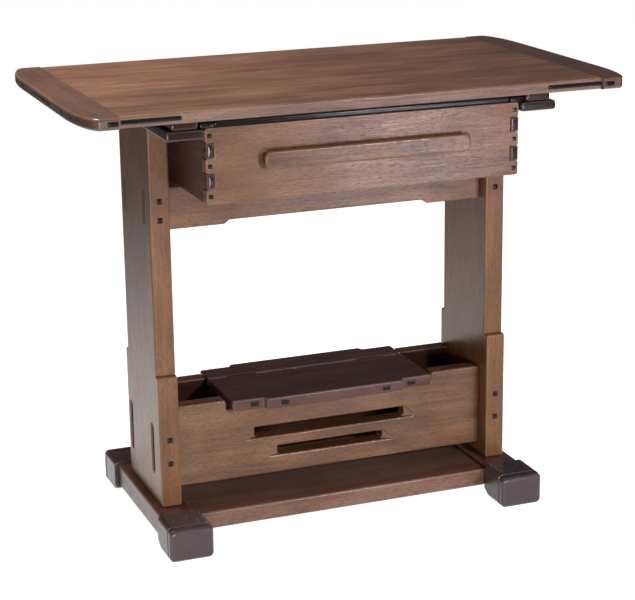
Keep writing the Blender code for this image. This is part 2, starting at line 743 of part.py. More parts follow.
def build_lid():
    pivot = empty("lid_hinge_axis", (0.0, LID_HINGE_Y, LID_AXIS_Z))
    lid = board("lid_board", stepped_plan(LID_FRONT_Y, LID_REAR_Y), "XY", LID_BOTTOM, LID_TOP, LID_ARRIS,
                DARK_MAHOGANY, pivot)
    fit_pegs(lid, "lid_peg", lid_peg_places(), pivot)
    board("lid_strip_rear", stepped_plan(STRIP_REAR_Y, STRIP_FRONT_Y), "XY", LID_BOTTOM, LID_TOP, LID_ARRIS,
          DARK_MAHOGANY)
    for side, label in ((-1, "left"), (1, "right")):
        build_hinge(side * HINGE_X, label, pivot)


def circle(u, v, radius):
    turns = [2 * math.pi * step / TURN_STEPS for step in range(TURN_STEPS)]
    return [(u + radius * math.cos(t), v + radius * math.sin(t)) for t in turns]


def build_hinge(x, label, pivot):
    """A butt hinge: the fixed leaf holds the pin and the outer knuckles, the lid's leaf the middle one."""
    start = x - HINGE_LENGTH / 2
    end = x + HINGE_LENGTH / 2
    third = HINGE_LENGTH / HINGE_KNUCKLES
    low = LID_AXIS_Z - HINGE_LEAF_DROP
    neck = LID_AXIS_Z - HINGE_KNUCKLE - HINGE_LEAF_CLEAR
    still_face = STRIP_FRONT_Y - FIT
    moving_face = LID_REAR_Y + FIT
    knuckle = circle(LID_HINGE_Y, LID_AXIS_Z, HINGE_KNUCKLE)
    pin = circle(LID_HINGE_Y, LID_AXIS_Z, HINGE_PIN)
    bore = circle(LID_HINGE_Y, LID_AXIS_Z, HINGE_PIN + FIT)
    still = board(f"hinge_leaf_fixed_{label}", [
        (start, low), (end, low), (end, LID_AXIS_Z), (end - third, LID_AXIS_Z), (end - third, neck),
        (start + third, neck), (start + third, LID_AXIS_Z), (start, LID_AXIS_Z)], "XZ",
        still_face - HINGE_LEAF_THICK, still_face, 0.0, BRASS)
    outer = [(knuckle, "YZ", start, start + third), (knuckle, "YZ", end - third, end)]
    shape_with(still, outer, "UNION", "knuckles")
    shape_with(still, [(pin, "YZ", start + third / 2, end - third / 2)], "UNION", "pin")
    left = start + third + FIT
    right = end - third - FIT
    moving = board(f"hinge_leaf_lid_{label}", [
        (start, low), (end, low), (end, neck), (right, neck), (right, LID_AXIS_Z), (left, LID_AXIS_Z),
        (left, neck), (start, neck)], "XZ",
        moving_face, moving_face + HINGE_LEAF_THICK, 0.0, BRASS, pivot)
    shape_with(moving, [(knuckle, "YZ", left, right)], "UNION", "knuckle")
    shape_with(moving, [(bore, "YZ", start, end)], "DIFFERENCE", "pin_bore")


# Feet: a beam under each leg with a broader toe block on each end, and the shelf board between the beams

def build_feet():
    shelf_tenon_low = SHELF_BOTTOM + (SHELF_THICK - SHELF_TENON_THICK) / 2
    shelf_tenon_high = shelf_tenon_low + SHELF_TENON_THICK
    tenon_half = SHELF_TENON_WIDTH / 2
    toe_tenon_low = BEAM_CLEAR + (BEAM_HEIGHT - TOE_TENON_HEIGHT) / 2
    toe_tenon_high = toe_tenon_low + TOE_TENON_HEIGHT
    for side, label in ((-1, "left"), (1, "right")):
        x = side * LEG_X
        reach = TOE_INNER_Y - FIT
        section = rectangle(x - BEAM_WIDTH / 2, BEAM_CLEAR, x + BEAM_WIDTH / 2, BEAM_TOP, BEAM_ARRIS)
        beam = board(f"foot_beam_{label}", section, "XZ", -reach, reach, 0.0, MAHOGANY)
        toe_tenon = rectangle(x - TOE_TENON_WIDTH / 2, toe_tenon_low, x + TOE_TENON_WIDTH / 2, toe_tenon_high)
        tips = [(toe_tenon, "XZ", end * reach - TOE_TENON_REACH, end * reach + TOE_TENON_REACH)
                for end in (-1, 1)]
        shape_with(beam, tips, "UNION", "toe_tenons")
        span = sorted((side * (BEAM_INNER - SHELF_TENON_REACH), side * (BEAM_INNER + SHELF_TENON_REACH)))
        shelf_mortise = rectangle(-tenon_half - FIT, shelf_tenon_low - FIT,
                                  tenon_half + FIT, shelf_tenon_high + FIT)
        socket = (stub_plan(x, FIT), "XY", LEG_BOTTOM - STUB_DOWN - FIT, BEAM_TOP + STUB_DOWN)
        shape_with(beam, [socket], "DIFFERENCE", "leg_mortise")
        shape_with(beam, [(shelf_mortise, "YZ", *span)], "DIFFERENCE", "shelf_mortise")
        for end, place in ((-1, "front"), (1, "rear")):
            ends = sorted((end * TOE_INNER_Y, end * FOOT_FRONT))
            section = rectangle(x - TOE_WIDTH / 2, 0.0, x + TOE_WIDTH / 2, TOE_HEIGHT, TOE_CORNER)
            toe = board(f"toe_{label}_{place}", section, "XZ", *ends, TOE_ARRIS, DARK_MAHOGANY)
            hole = rectangle(x - TOE_TENON_WIDTH / 2 - FIT, toe_tenon_low - FIT,
                             x + TOE_TENON_WIDTH / 2 + FIT, toe_tenon_high + FIT)
            depth = sorted((end * (reach + TOE_TENON_REACH + FIT), end * (reach - TOE_TENON_REACH)))
            shape_with(toe, [(hole, "XZ", *depth)], "DIFFERENCE", "mortise")
    half = BEAM_INNER - FIT
    shelf = board("shelf_board", rectangle(-half, -SHELF_FRONT, half, SHELF_FRONT), "XY",
                  SHELF_BOTTOM, SHELF_BOTTOM + SHELF_THICK, SHELF_ARRIS, MAHOGANY)
    tongue = rectangle(-tenon_half, shelf_tenon_low, tenon_half, shelf_tenon_high)
    tip = BEAM_INNER + SHELF_TENON_REACH - FIT
    root = BEAM_INNER - SHELF_TENON_REACH
    shape_with(shelf, [(tongue, "YZ", -tip, -root), (tongue, "YZ", root, tip)], "UNION", "tenons")


# Drawer: finger-jointed box hung by two runners on the bearer flanges

def drawer_front_outline():
    right = []
    for finger in range(FINGERS):
        low = DRAWER_LOW + finger * FINGER_PITCH
        x = DRAWER_HALF if finger % 2 == 0 else DRAWER_HALF - DRAWER_SIDE_THICK - FIT
        right += [(x, low), (x, low + FINGER_PITCH)]
    left = [(-x, z) for x, z in reversed(right)]
    return right + left


def drawer_side_outline():
    shoulder = DRAWER_FRONT_Y + DRAWER_FRONT_THICK + FIT
    tip = DRAWER_FRONT_Y - FINGER_PROUD
    front = []
    for finger in reversed(range(FINGERS)):
        low = DRAWER_LOW + finger * FINGER_PITCH
        high = low + FINGER_PITCH
        if finger % 2 == 1:
            front += [(shoulder, high - FIT), (tip, high - FIT), (tip, low + FIT), (shoulder, low + FIT)]
    return [(shoulder, DRAWER_TOP)] + front + [(shoulder, DRAWER_LOW), (DRAWER_REAR_Y, DRAWER_LOW),
                                               (DRAWER_REAR_Y, DRAWER_TOP)]


def build_drawer():
    slide = empty("drawer_slide_axis", (0.0, DRAWER_FRONT_Y, RUNNER_BOTTOM))
    front_back = DRAWER_FRONT_Y + DRAWER_FRONT_THICK
    back_front = DRAWER_REAR_Y - DRAWER_BACK_THICK
    side_inner = DRAWER_HALF - DRAWER_SIDE_THICK
    bottom_low = DRAWER_LOW + DRAWER_BOTTOM_RISE
    bottom_high = bottom_low + DRAWER_BOTTOM_THICK
    bottom_half = side_inner + DRAWER_BOTTOM_TONGUE
    bottom_front = front_back - DRAWER_BOTTOM_TONGUE
    bottom_rear = back_front + DRAWER_BOTTOM_TONGUE
    groove_plan = rectangle(-bottom_half - FIT, bottom_front - FIT, bottom_half + FIT, bottom_rear + FIT)
    bottom_groove = [(groove_plan, "XY", bottom_low - FIT, bottom_high + FIT)]
    front = board("drawer_front", drawer_front_outline(), "XZ", DRAWER_FRONT_Y, front_back, 0.0,
                  MAHOGANY, slide)
    shape_with(front, bottom_groove, "DIFFERENCE", "bottom_groove")
    for side, label in ((-1, "left"), (1, "right")):
        span = sorted((side * side_inner, side * DRAWER_HALF))
        wall = board(f"drawer_side_{label}", drawer_side_outline(), "YZ", *span, 0.0, MAHOGANY, slide)
        shape_with(wall, bottom_groove, "DIFFERENCE", "bottom_groove")
        reach = sorted((side * RUNNER_INNER, side * RUNNER_OUTER))
        plan = rectangle(reach[0], DRAWER_FRONT_Y - RUNNER_PROUD, reach[1], DRAWER_REAR_Y, DRAWER_CORNER)
        board(f"drawer_runner_{label}", plan, "XY", RUNNER_BOTTOM, RUNNER_BOTTOM + RUNNER_THICK,
              DRAWER_ARRIS, EBONY, slide)
        ledge = sorted((side * FLANGE_INNER, side * (NECK_INNER - FIT)))
        stop_start = DRAWER_REAR_Y + FIT
        plan = rectangle(ledge[0], stop_start, ledge[1], stop_start + STOP_LENGTH)
        board(f"drawer_stop_{label}", plan, "XY", RUNNER_BOTTOM, RUNNER_BOTTOM + RUNNER_THICK, 0.0,
              MAHOGANY)
    inner = side_inner - FIT
    back = board("drawer_back", rectangle(-inner, DRAWER_LOW, inner, DRAWER_TOP, DRAWER_CORNER), "XZ",
                 back_front, DRAWER_REAR_Y, DRAWER_ARRIS, DRAWER_WOOD, slide)
    shape_with(back, bottom_groove, "DIFFERENCE", "bottom_groove")
    board("drawer_bottom", rectangle(-bottom_half, bottom_front, bottom_half, bottom_rear), "XY",
          bottom_low, bottom_high, 0.0, DRAWER_WOOD, slide)
    strip_half = RUNNER_INNER - FIT
    strip_front = DRAWER_FRONT_Y + TOP_STRIP_SETBACK
    strip_top = RUNNER_BOTTOM + TOP_STRIP_HEIGHT
    section = rectangle(-strip_half, RUNNER_BOTTOM, strip_half, strip_top, DRAWER_CORNER)
    board("drawer_top_strip", section, "XZ", strip_front, strip_front + TOP_STRIP_THICK, DRAWER_ARRIS,
          EBONY, slide)
    pull_back = DRAWER_FRONT_Y - FIT
    pull_z = DRAWER_LOW + PULL_RISE
    pull = board("drawer_pull", stadium(0.0, pull_z, PULL_LENGTH, PULL_HEIGHT), "XZ",
                 pull_back - PULL_PROUD, pull_back, PULL_ARRIS, MAHOGANY, slide)
    groove_half = PULL_GROOVE_LENGTH / 2
    pull_top = pull_z + PULL_HEIGHT / 2
    groove = rectangle(-groove_half, pull_top - PULL_GROOVE_DEPTH, groove_half, pull_top + PULL_GROOVE_DEPTH)
    shape_with(pull, [(groove, "XZ", pull_back - PULL_GROOVE_WIDTH, pull_back + PULL_GROOVE_WIDTH)],
               "DIFFERENCE", "finger_groove")


def main():
    clear_scene()
    build_top()
    build_bearers()
    build_legs()
    build_aprons()
    build_box()
    build_lid()
    build_feet()
    build_drawer()


main()
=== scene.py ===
import math

import bpy
import numpy as np
from mathutils import Matrix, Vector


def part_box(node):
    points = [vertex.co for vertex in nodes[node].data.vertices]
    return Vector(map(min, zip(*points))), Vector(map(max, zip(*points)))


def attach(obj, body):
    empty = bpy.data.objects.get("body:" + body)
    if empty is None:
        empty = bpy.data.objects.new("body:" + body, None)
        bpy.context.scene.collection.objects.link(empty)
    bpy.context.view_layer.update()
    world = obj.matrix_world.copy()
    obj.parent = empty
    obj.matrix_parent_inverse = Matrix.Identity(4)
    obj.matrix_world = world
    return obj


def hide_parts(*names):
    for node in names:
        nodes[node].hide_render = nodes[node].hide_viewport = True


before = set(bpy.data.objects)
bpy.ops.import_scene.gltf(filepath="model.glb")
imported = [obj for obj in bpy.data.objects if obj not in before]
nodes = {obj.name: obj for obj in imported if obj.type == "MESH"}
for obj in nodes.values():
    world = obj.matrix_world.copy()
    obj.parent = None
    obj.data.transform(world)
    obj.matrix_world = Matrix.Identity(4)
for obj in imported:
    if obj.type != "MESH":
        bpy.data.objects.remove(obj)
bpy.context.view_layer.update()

sides = ((-1, "left"), (1, "right"))
ends = ((-1, "front"), (1, "rear"))


# Lowest and highest corner of a node as arrays
def nodeBox(name):
    low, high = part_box(name)
    return np.array(low), np.array(high)


# Colours and nodes

# sRGB to linear: small values divided by 12.92, the rest raised to the power 2.4
def hexColour(code):
    srgb = np.array([int(code[i:i + 2], 16) for i in (1, 3, 5)]) / 255.0
    linear = np.where(srgb <= 0.04045, srgb / 12.92, ((srgb + 0.055) / 1.055) ** 2.4)
    return (*linear.tolist(), 1.0)


# One node with its fields, input values and sources; a node given as a source stands for its first output
def addNode(tree, kind, fields=None, values=None, links=None):
    node = tree.nodes.new("ShaderNode" + kind)
    for field, value in (fields or {}).items():
        setattr(node, field, value)
    for socket, value in (values or {}).items():
        node.inputs[socket].default_value = value
    for socket, source in (links or {}).items():
        tree.links.new(getattr(source, "outputs", (source,))[0], node.inputs[socket])
    return node


# A material with nothing in it yet, and its node tree
def emptyMaterial(name):
    material = bpy.data.materials.new(name)
    material.use_nodes = True
    material.node_tree.nodes.clear()
    return material, material.node_tree


# Ramp stops as (position, hex), the first two reuse the stops a new ramp has
def setRamp(node, stops):
    ramp = node.color_ramp
    while len(ramp.elements) < len(stops):
        ramp.elements.new(0.5)
    for element, (position, code) in zip(ramp.elements, stops):
        element.position = position
        element.color = hexColour(code)


# Woods

# Noises as length and width in millimetres, detail and roughness: waver bends the grain, figure is the broad
# colour flow, line the fibre streaks, patch the mottling, fleck the open pores.
# Pores of mahogany are about 0.2 mm wide; they are drawn 0.9 mm wide here so that they show.
grainSizes = {
    "waver": (240.0, 80.0, 2.0, 0.5), "waverReach": 18.0,
    "figure": (300.0, 26.0, 4.0, 0.6),
    "line": (140.0, 2.0, 3.0, 0.6),
    "patch": (130.0, 70.0, 2.0, 0.5),
    "fleck": (9.0, 0.9, 2.0, 0.55),
    "stops": (0.22, 0.5, 0.78), "poreRange": (0.5, 0.68), "poreDepth": -1.4, "bumpDistance": 0.0004,
    "arrisRange": (0.985, 0.8), "roughRange": (0.3, 0.7), "roughSwing": 0.06,
}
mmPerMetre = 1000.0


# A solid wood block: noises stretched along one axis, so a cut across it shows end grain by itself
def woodMaterial(name, axis, look):
    material, tree = emptyMaterial(name)

    # Noise with one grain of the given size per unit
    def noise(kind, source):
        length, width, detail, rough = grainSizes[kind]
        scale = [mmPerMetre / width] * 3
        scale[axis] = mmPerMetre / length
        spread = addNode(tree, "VectorMath", {"operation": "MULTIPLY"}, {1: scale}, {0: source})
        values = {"Scale": 1.0, "Detail": detail, "Roughness": rough}
        return addNode(tree, "TexNoise", None, values, {"Vector": spread})

    coordinates = addNode(tree, "TexCoord").outputs
    place = coordinates["Object"]
    drift = noise("waver", place).outputs["Color"]
    centred = addNode(tree, "VectorMath", {"operation": "SUBTRACT"}, {1: (0.5, 0.5, 0.5)}, {0: drift})
    moved = addNode(tree, "VectorMath", {"operation": "SCALE"},
                    {"Scale": grainSizes["waverReach"] / mmPerMetre}, {0: centred})
    wavy = addNode(tree, "VectorMath", {"operation": "ADD"}, None, {0: place, 1: moved})
    figure, line, patch, fleck = (noise(kind, wavy) for kind in ("figure", "line", "patch", "fleck"))

    # Weighted sum of three noises about one half
    base = 0.5 - 0.5 * (look["figure"] + look["line"] + look["patch"])
    first = addNode(tree, "Math", {"operation": "MULTIPLY_ADD"}, {1: look["figure"], 2: base}, {0: figure})
    second = addNode(tree, "Math", {"operation": "MULTIPLY_ADD"}, {1: look["line"]}, {0: line, 2: first})
    tone = addNode(tree, "Math", {"operation": "MULTIPLY_ADD"}, {1: look["patch"]}, {0: patch, 2: second})
    ground = addNode(tree, "ValToRGB", None, None, {0: tone})
    setRamp(ground, tuple(zip(grainSizes["stops"], (look["dark"], look["middle"], look["light"]))))
    low, high = grainSizes["poreRange"]
    pores = addNode(tree, "MapRange", None,
                    {"From Min": low, "From Max": high, "To Max": look["pores"]}, {0: fleck})
    colour = addNode(tree, "Mix", {"data_type": "RGBA", "blend_type": "MULTIPLY"},
                     {7: hexColour(look["poreColour"])}, {0: pores, 6: ground})
    # Arrises face between two axes, so the largest part of their normal is smaller there. There the colour is
    # lightened towards a painted highlight colour, standing in for the highlights along rounded arrises, and
    # the wood is made glossier
    facing = addNode(tree, "VectorMath", {"operation": "ABSOLUTE"}, None, {0: coordinates["Normal"]})
    parts = addNode(tree, "SeparateXYZ", None, None, {0: facing}).outputs
    larger = addNode(tree, "Math", {"operation": "MAXIMUM"}, None, {0: parts[0], 1: parts[1]})
    largest = addNode(tree, "Math", {"operation": "MAXIMUM"}, None, {0: larger, 1: parts[2]})
    low, high = grainSizes["arrisRange"]
    arrisShare = addNode(tree, "MapRange", None,
                      {"From Min": low, "From Max": high, "To Max": look["arrisHighlightAndGloss"]}, {0: largest})
    # Painted highlight: the colour mixed towards the arris highlight colour
    withHighlight = addNode(tree, "Mix", {"data_type": "RGBA"}, {7: hexColour(look["arrisHighlightColour"])},
                   {0: arrisShare, 6: colour.outputs[2]})
    low, high = grainSizes["roughRange"]
    duller, shinier = look["rough"] + grainSizes["roughSwing"], look["rough"] - grainSizes["roughSwing"]
    uneven = addNode(tree, "MapRange", None,
                     {"From Min": low, "From Max": high, "To Min": duller, "To Max": shinier}, {0: line})
    rough = addNode(tree, "Math", {"operation": "MULTIPLY_ADD"}, {1: look["rubShine"]},
                    {0: arrisShare, 2: uneven})
    height = addNode(tree, "Math", {"operation": "MULTIPLY_ADD"}, {1: grainSizes["poreDepth"]},
                     {0: pores, 2: line})
    bump = addNode(tree, "Bump", None,
                   {"Strength": look["bump"], "Distance": grainSizes["bumpDistance"]}, {"Height": height})
    shader = addNode(tree, "BsdfPrincipled", None, {"Specular IOR Level": look["shine"]},
                     {"Base Color": withHighlight.outputs[2], "Roughness": rough, "Normal": bump})
    addNode(tree, "OutputMaterial", None, None, {0: shader})
    return material


# Oiled mahogany: warm golden brown, short dark pores, a satin sheen, and a pale painted highlight colour
# along the arrises
oiledLook = {
    "dark": "#58351d", "middle": "#7b4f30", "light": "#966a46", "poreColour": "#644634",
    "figure": 0.6, "line": 0.55, "patch": 0.5, "pores": 0.55,
    "rough": 0.3, "bump": 0.12, "shine": 0.43,
    "arrisHighlightAndGloss": 0.2, "arrisHighlightColour": "#c09a7c", "rubShine": -0.7,
}
# Drawer front, aprons and rails: the same wood, more mottled
plainLook = dict(oiledLook, dark="#51331f", middle="#795236", light="#996d4f", patch=0.7, line=0.6,
                 pores=0.65, rough=0.24, shine=0.5)
# Drawer sides and tenon ends: darker and redder, little gloss. On the drawer sides the darker colour is
# painted shade, for the shadow they sit in under the top; on the tenon ends it is partly end grain and partly
# painted shade in their mouths
sideShadeLook = dict(oiledLook, dark="#452620", middle="#62382c", light="#764839", rough=0.42, shine=0.3)
# Inside of the box: dark and dull, hardly any light reaches it
insideLook = dict(sideShadeLook, dark="#331f18", middle="#492d23", light="#5a3b2e", shine=0.1)
# The top: brown and straight in the grain, polished by use
topLook = dict(oiledLook, dark="#51392c", middle="#755444", light="#95725c", line=0.8, pores=0.5,
               rough=0.34, shine=0.5)
# End boards of the top: the darkest of the planks there
endLook = dict(topLook, dark="#402b23", middle="#5b4137", light="#705347", line=0.6)
# Lid and rear strip: the same wood as the rails, painted darker red-brown as shade for the shadow under the
# top; the figure only just shows
lidShadeLook = dict(oiledLook, dark="#482f2b", middle="#634641", light="#775a52", pores=0.4,
                rough=0.26, shine=0.2)
# Foot beams: red-brown, darker than the legs; the shelf is lighter
footLook = dict(oiledLook, dark="#472b22", middle="#654437", light="#7e5c4b", shine=0.4, rough=0.3)
shelfLook = dict(footLook, dark="#5e3f33", middle="#87604f", light="#a27d68")
# Toe blocks: greyer and a little purple, with a pinkish-grey painted highlight colour along their arrises
toeLook = dict(lidShadeLook, dark="#35262a", middle="#47373a", light="#554346", rough=0.28, bump=0.04,
               shine=0.5, arrisHighlightColour="#8d7878")
# Drawer lining: pale plain mahogany, only waxed
liningLook = dict(oiledLook, dark="#8a6440", middle="#a88058", light="#bf9a70", pores=0.4, rough=0.55)
# Bearers and finger ends: dark, rubbed to a gloss; the thin bright lines along their arrises come from that
# gloss and from a painted highlight colour there
rubbedLook = dict(oiledLook, dark="#1f120e", middle="#2d1b16", light="#3d2720", rough=0.17, bump=0.04,
                  shine=0.35, arrisHighlightColour="#a08a82", rubShine=-0.3)
# Polished ebony: near black, faint brown streaks, a clear sharp highlight, and a grey painted highlight
# colour along its arrises
ebonyLook = dict(oiledLook, dark="#080607", middle="#0f0b0d", light="#1b1518", pores=0.2,
                 rough=0.17, bump=0.03, shine=0.24, arrisHighlightAndGloss=0.15, arrisHighlightColour="#6c666c", rubShine=-0.4)

mahogany = woodMaterial("oiled_mahogany", 2, oiledLook)
plainWood = woodMaterial("mottled_mahogany", 0, plainLook)
sideShadeWood = woodMaterial("drawer_side_shade_mahogany", 1, sideShadeLook)
tenonWood = woodMaterial("tenon_mahogany", 0, sideShadeLook)
topWood = woodMaterial("top_mahogany", 0, topLook)
endWood = woodMaterial("end_board_mahogany", 1, endLook)
lidShadeWood = woodMaterial("dark_mahogany", 0, lidShadeLook)
footWood = woodMaterial("foot_mahogany", 1, footLook)
shelfWood = woodMaterial("shelf_mahogany", 0, shelfLook)
insideWood = woodMaterial("box_inside_mahogany", 0, insideLook)
toeWood = woodMaterial("grey_toe_mahogany", 1, toeLook)
lining = woodMaterial("waxed_lining", 0, liningLook)
rubbed = woodMaterial("rubbed_mahogany", 1, rubbedLook)
ebony = woodMaterial("polished_ebony", 0, ebonyLook)


# Scratches as length and width in millimetres, and how far they change the roughness
scratchSizes = {"length": 8.33, "width": 0.714, "detail": 3.0, "stops": (0.3, 0.7), "swing": 0.1}


# Metal with fine scratches: noise drawn out along X, brighter and duller by turns
def metalMaterial(name, dark, light, rough):
    material, tree = emptyMaterial(name)
    place = addNode(tree, "TexCoord").outputs["Object"]
    across = mmPerMetre / scratchSizes["width"]
    spread = addNode(tree, "VectorMath", {"operation": "MULTIPLY"},
                     {1: (mmPerMetre / scratchSizes["length"], across, across)}, {0: place})
    scratch = addNode(tree, "TexNoise", None, {"Scale": 1.0, "Detail": scratchSizes["detail"]},
                      {"Vector": spread})
    colour = addNode(tree, "ValToRGB", None, None, {0: scratch})
    setRamp(colour, tuple(zip(scratchSizes["stops"], (dark, light))))
    duller = addNode(tree, "MapRange", None,
                     {"To Min": rough - scratchSizes["swing"], "To Max": rough + scratchSizes["swing"]},
                     {0: scratch})
    shader = addNode(tree, "BsdfPrincipled", None, {"Metallic": 1.0},
                     {"Base Color": colour, "Roughness": duller})
    addNode(tree, "OutputMaterial", None, None, {0: shader})
    return material


brass = metalMaterial("aged_brass", "#3d2f1b", "#6b5734", 0.4)  # dull yellow, browned all over
steel = metalMaterial("zinc_plated_steel", "#8a8c8e", "#b4b6b8", 0.35)  # grey with a soft shine
print("materials:", len(bpy.data.materials))


# Surfaces

# Points on an arc, rings of a dome as shares of its width, angle in degrees above which an edge stays sharp
meshSizes = {"arcSteps": 13, "domeRings": (0.75, 0.45, 0.15), "plugSteps": 3, "sharp": 48.0,
             "flatWeight": 80, "sameSpot": 1e-6, "straight": 1e-4}


# Polygon with corners turned to arcs: each arc is tangent to both sides, about a centre on the bisector
def roundedOutline(corners, steps=6):
    table = np.array(corners, float)
    point, radius = table[:, :2], table[:, 2]
    back = np.roll(point, 1, 0) - point
    ahead = np.roll(point, -1, 0) - point
    back /= np.linalg.norm(back, axis=1)[:, None]
    ahead /= np.linalg.norm(ahead, axis=1)[:, None]
    half = np.arccos(np.clip((back * ahead).sum(1), -1, 1)) / 2
    middle = back + ahead
    middle /= np.linalg.norm(middle, axis=1)[:, None]
    centre = point + middle * (radius / np.sin(half))[:, None]
    start = point + back * (radius / np.tan(half))[:, None] - centre
    stop = point + ahead * (radius / np.tan(half))[:, None] - centre
    first = np.arctan2(start[:, 1], start[:, 0])
    sweep = (np.arctan2(stop[:, 1], stop[:, 0]) - first + math.pi) % (2 * math.pi) - math.pi
    angle = first[:, None] + sweep[:, None] * np.linspace(0, 1, steps + 1)
    arc = np.stack((np.cos(angle), np.sin(angle)), -1) * radius[:, None, None]
    line = (centre[:, None, :] + arc).reshape(-1, 2)
    return line[np.linalg.norm(line - np.roll(line, 1, 0), axis=1) > meshSizes["sameSpot"]]


# Rectangle from two opposite corners, all four rounded alike
def rectangleOutline(u0, v0, u1, v1, radius):
    return roundedOutline(((u0, v0, radius), (u1, v0, radius), (u1, v1, radius), (u0, v1, radius)))


# Step inwards that moves both sides at a point by their own radius: n1.o = -r1 and n2.o = -r2 solved for o
def inwardSteps(outline, arris):
    edge = np.roll(outline, -1, 0) - outline
    normal = np.stack((edge[:, 1], -edge[:, 0]), -1) / np.linalg.norm(edge, axis=1)[:, None]
    radius = np.broadcast_to(np.asarray(arris, float), len(outline))
    before, beforeRadius = np.roll(normal, 1, 0), np.roll(radius, 1)
    cross = before[:, 0] * normal[:, 1] - before[:, 1] * normal[:, 0]
    flat = np.abs(cross) < meshSizes["straight"]
    safe = np.where(flat, 1.0, cross)
    x = (-beforeRadius * normal[:, 1] + radius * before[:, 1]) / safe
    y = (-before[:, 0] * radius + normal[:, 0] * beforeRadius) / safe
    straight = -normal * ((radius + beforeRadius) / 2)[:, None]
    return np.where(flat[:, None], straight, np.stack((x, y), -1)), np.maximum(radius, beforeRadius)


planeAxes = {"XY": (0, 1, 2), "XZ": (0, 2, 1), "YZ": (1, 2, 0)}


# Rings of equal length to a closed mesh: quads between neighbours, one face on each end
def ringMesh(rings, plane):
    count, length = rings.shape[:2]
    points = np.zeros((count * length, 3))
    points[:, planeAxes[plane]] = rings.reshape(-1, 3)
    index = np.arange(count * length).reshape(count, length)
    across = np.roll(index, -1, 1)
    quads = np.stack((index[:-1], across[:-1], across[1:], index[1:]), -1).reshape(-1, 4)
    faces = quads.tolist() + [index[0, ::-1].tolist(), index[-1].tolist()]
    if plane == "XZ":
        faces = [face[::-1] for face in faces]
    return points, faces


# Board: the outline carried through its thickness, drawn in by r(1 - sin t) at depth r(1 - cos t) on both
# faces. A dome adds rings that shrink to the middle and rise by dome(1 - f^2), for pillowed plugs and ends.
def boardMesh(outline, plane, low, high, arris, dome=0.0, steps=4):
    step, drop = inwardSteps(outline, arris)
    turn = np.linspace(0, math.pi / 2, steps + 1)[:, None]
    inset = outline + step * (1 - np.sin(turn))[:, :, None]
    depth = drop * (1 - np.cos(turn))
    near = np.concatenate((inset, (low + depth)[:, :, None]), -1)
    far = np.concatenate((inset, (high - depth)[:, :, None]), -1)[::-1]
    rings = [near, far]
    if dome > 0.0:
        share = np.array(meshSizes["domeRings"])[:, None, None]
        middle = inset[0].mean(0)
        cap = middle + (inset[0] - middle) * share
        rise = np.broadcast_to(dome * (1 - share ** 2), (*cap.shape[:2], 1))
        below = np.concatenate((cap, low - rise), -1)[::-1]
        above = np.concatenate((cap, high + rise), -1)
        rings = [below, near, far, above]
    return ringMesh(np.concatenate(rings), plane)


# Several meshes as one: points stacked, faces counted on
def joined(meshes):
    points, faces, base = [], [], 0
    for some, theirs in meshes:
        points.append(some)
        faces += [[i + base for i in face] for face in theirs]
        base += len(some)
    return np.concatenate(points), faces


# Points and faces as an object at the origin
def meshObject(name, mesh):
    points, faces = mesh
    data = bpy.data.meshes.new(name)
    data.from_pydata(points.tolist(), [], faces)
    made = bpy.data.objects.new(name, data)
    bpy.context.scene.collection.objects.link(made)
    return made


# Cutters taken out of a piece for good
def cutOut(piece, meshes):
    tools = [meshObject("cutter", mesh) for mesh in meshes]
    for tool in tools:
        step = piece.modifiers.new("cut", "BOOLEAN")
        step.operation = "DIFFERENCE"
        step.solver = "EXACT"
        step.object = tool
    graph = bpy.context.evaluated_depsgraph_get()
    cut = bpy.data.meshes.new_from_object(piece.evaluated_get(graph))
    piece.modifiers.clear()
    piece.data = cut
    for tool in tools:
        bpy.data.objects.remove(tool)


# A piece of the table: smooth arrises, flat faces kept flat by weighted normals
def makePiece(name, mesh, material, body, replaced=(), cutters=()):
    made = meshObject(name, mesh)
    if cutters:
        cutOut(made, cutters)
    made.data.polygons.foreach_set("use_smooth", np.ones(len(made.data.polygons), bool))
    made.data.set_sharp_from_angle(angle=math.radians(meshSizes["sharp"]))
    made.data.materials.clear()
    made.data.materials.append(material)
    flats = made.modifiers.new("flats", "WEIGHTED_NORMAL")
    flats.keep_sharp = True
    flats.weight = meshSizes["flatWeight"]
    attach(made, body)
    if replaced:
        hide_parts(*replaced)
    return made


# Bar along Y: the rounded cross-section of a box, with ends that are eased and may be domed within the box
def barMesh(low, high, corner, end, dome=0.0):
    section = rectangleOutline(low[0], low[2], high[0], high[2], corner)
    return boardMesh(section, "XZ", low[1] + dome, high[1] - dome, end, dome)


# Pillowed plug: a small rounded board through a face, domed on its ends
def plugMesh(plane, u, v, width, height, face, outward, plug):
    outline = rectangleOutline(u - width / 2, v - height / 2, u + width / 2, v + height / 2, plug["corner"])
    inner = face - outward * plug["sunk"]
    outer = face + outward * plug["proud"]
    low, high = min(inner, outer), max(inner, outer)
    return boardMesh(outline, plane, low, high, plug["arris"], plug["dome"], meshSizes["plugSteps"])


# The top

topSizes = {"edge": 0.0045, "joint": 0.0003, "endEdge": 0.0055, "cornerAcross": 0.027, "cornerAlong": 0.115,
            "jointGap": 0.00005, "plugRoom": 0.0009}
panelLow, panelHigh = nodeBox("top_panel")
endLow, endHigh = nodeBox("breadboard_end_right")
panelEnd = endLow[0] - topSizes["jointGap"]
endOuter = endHigh[0] - topSizes["plugRoom"]


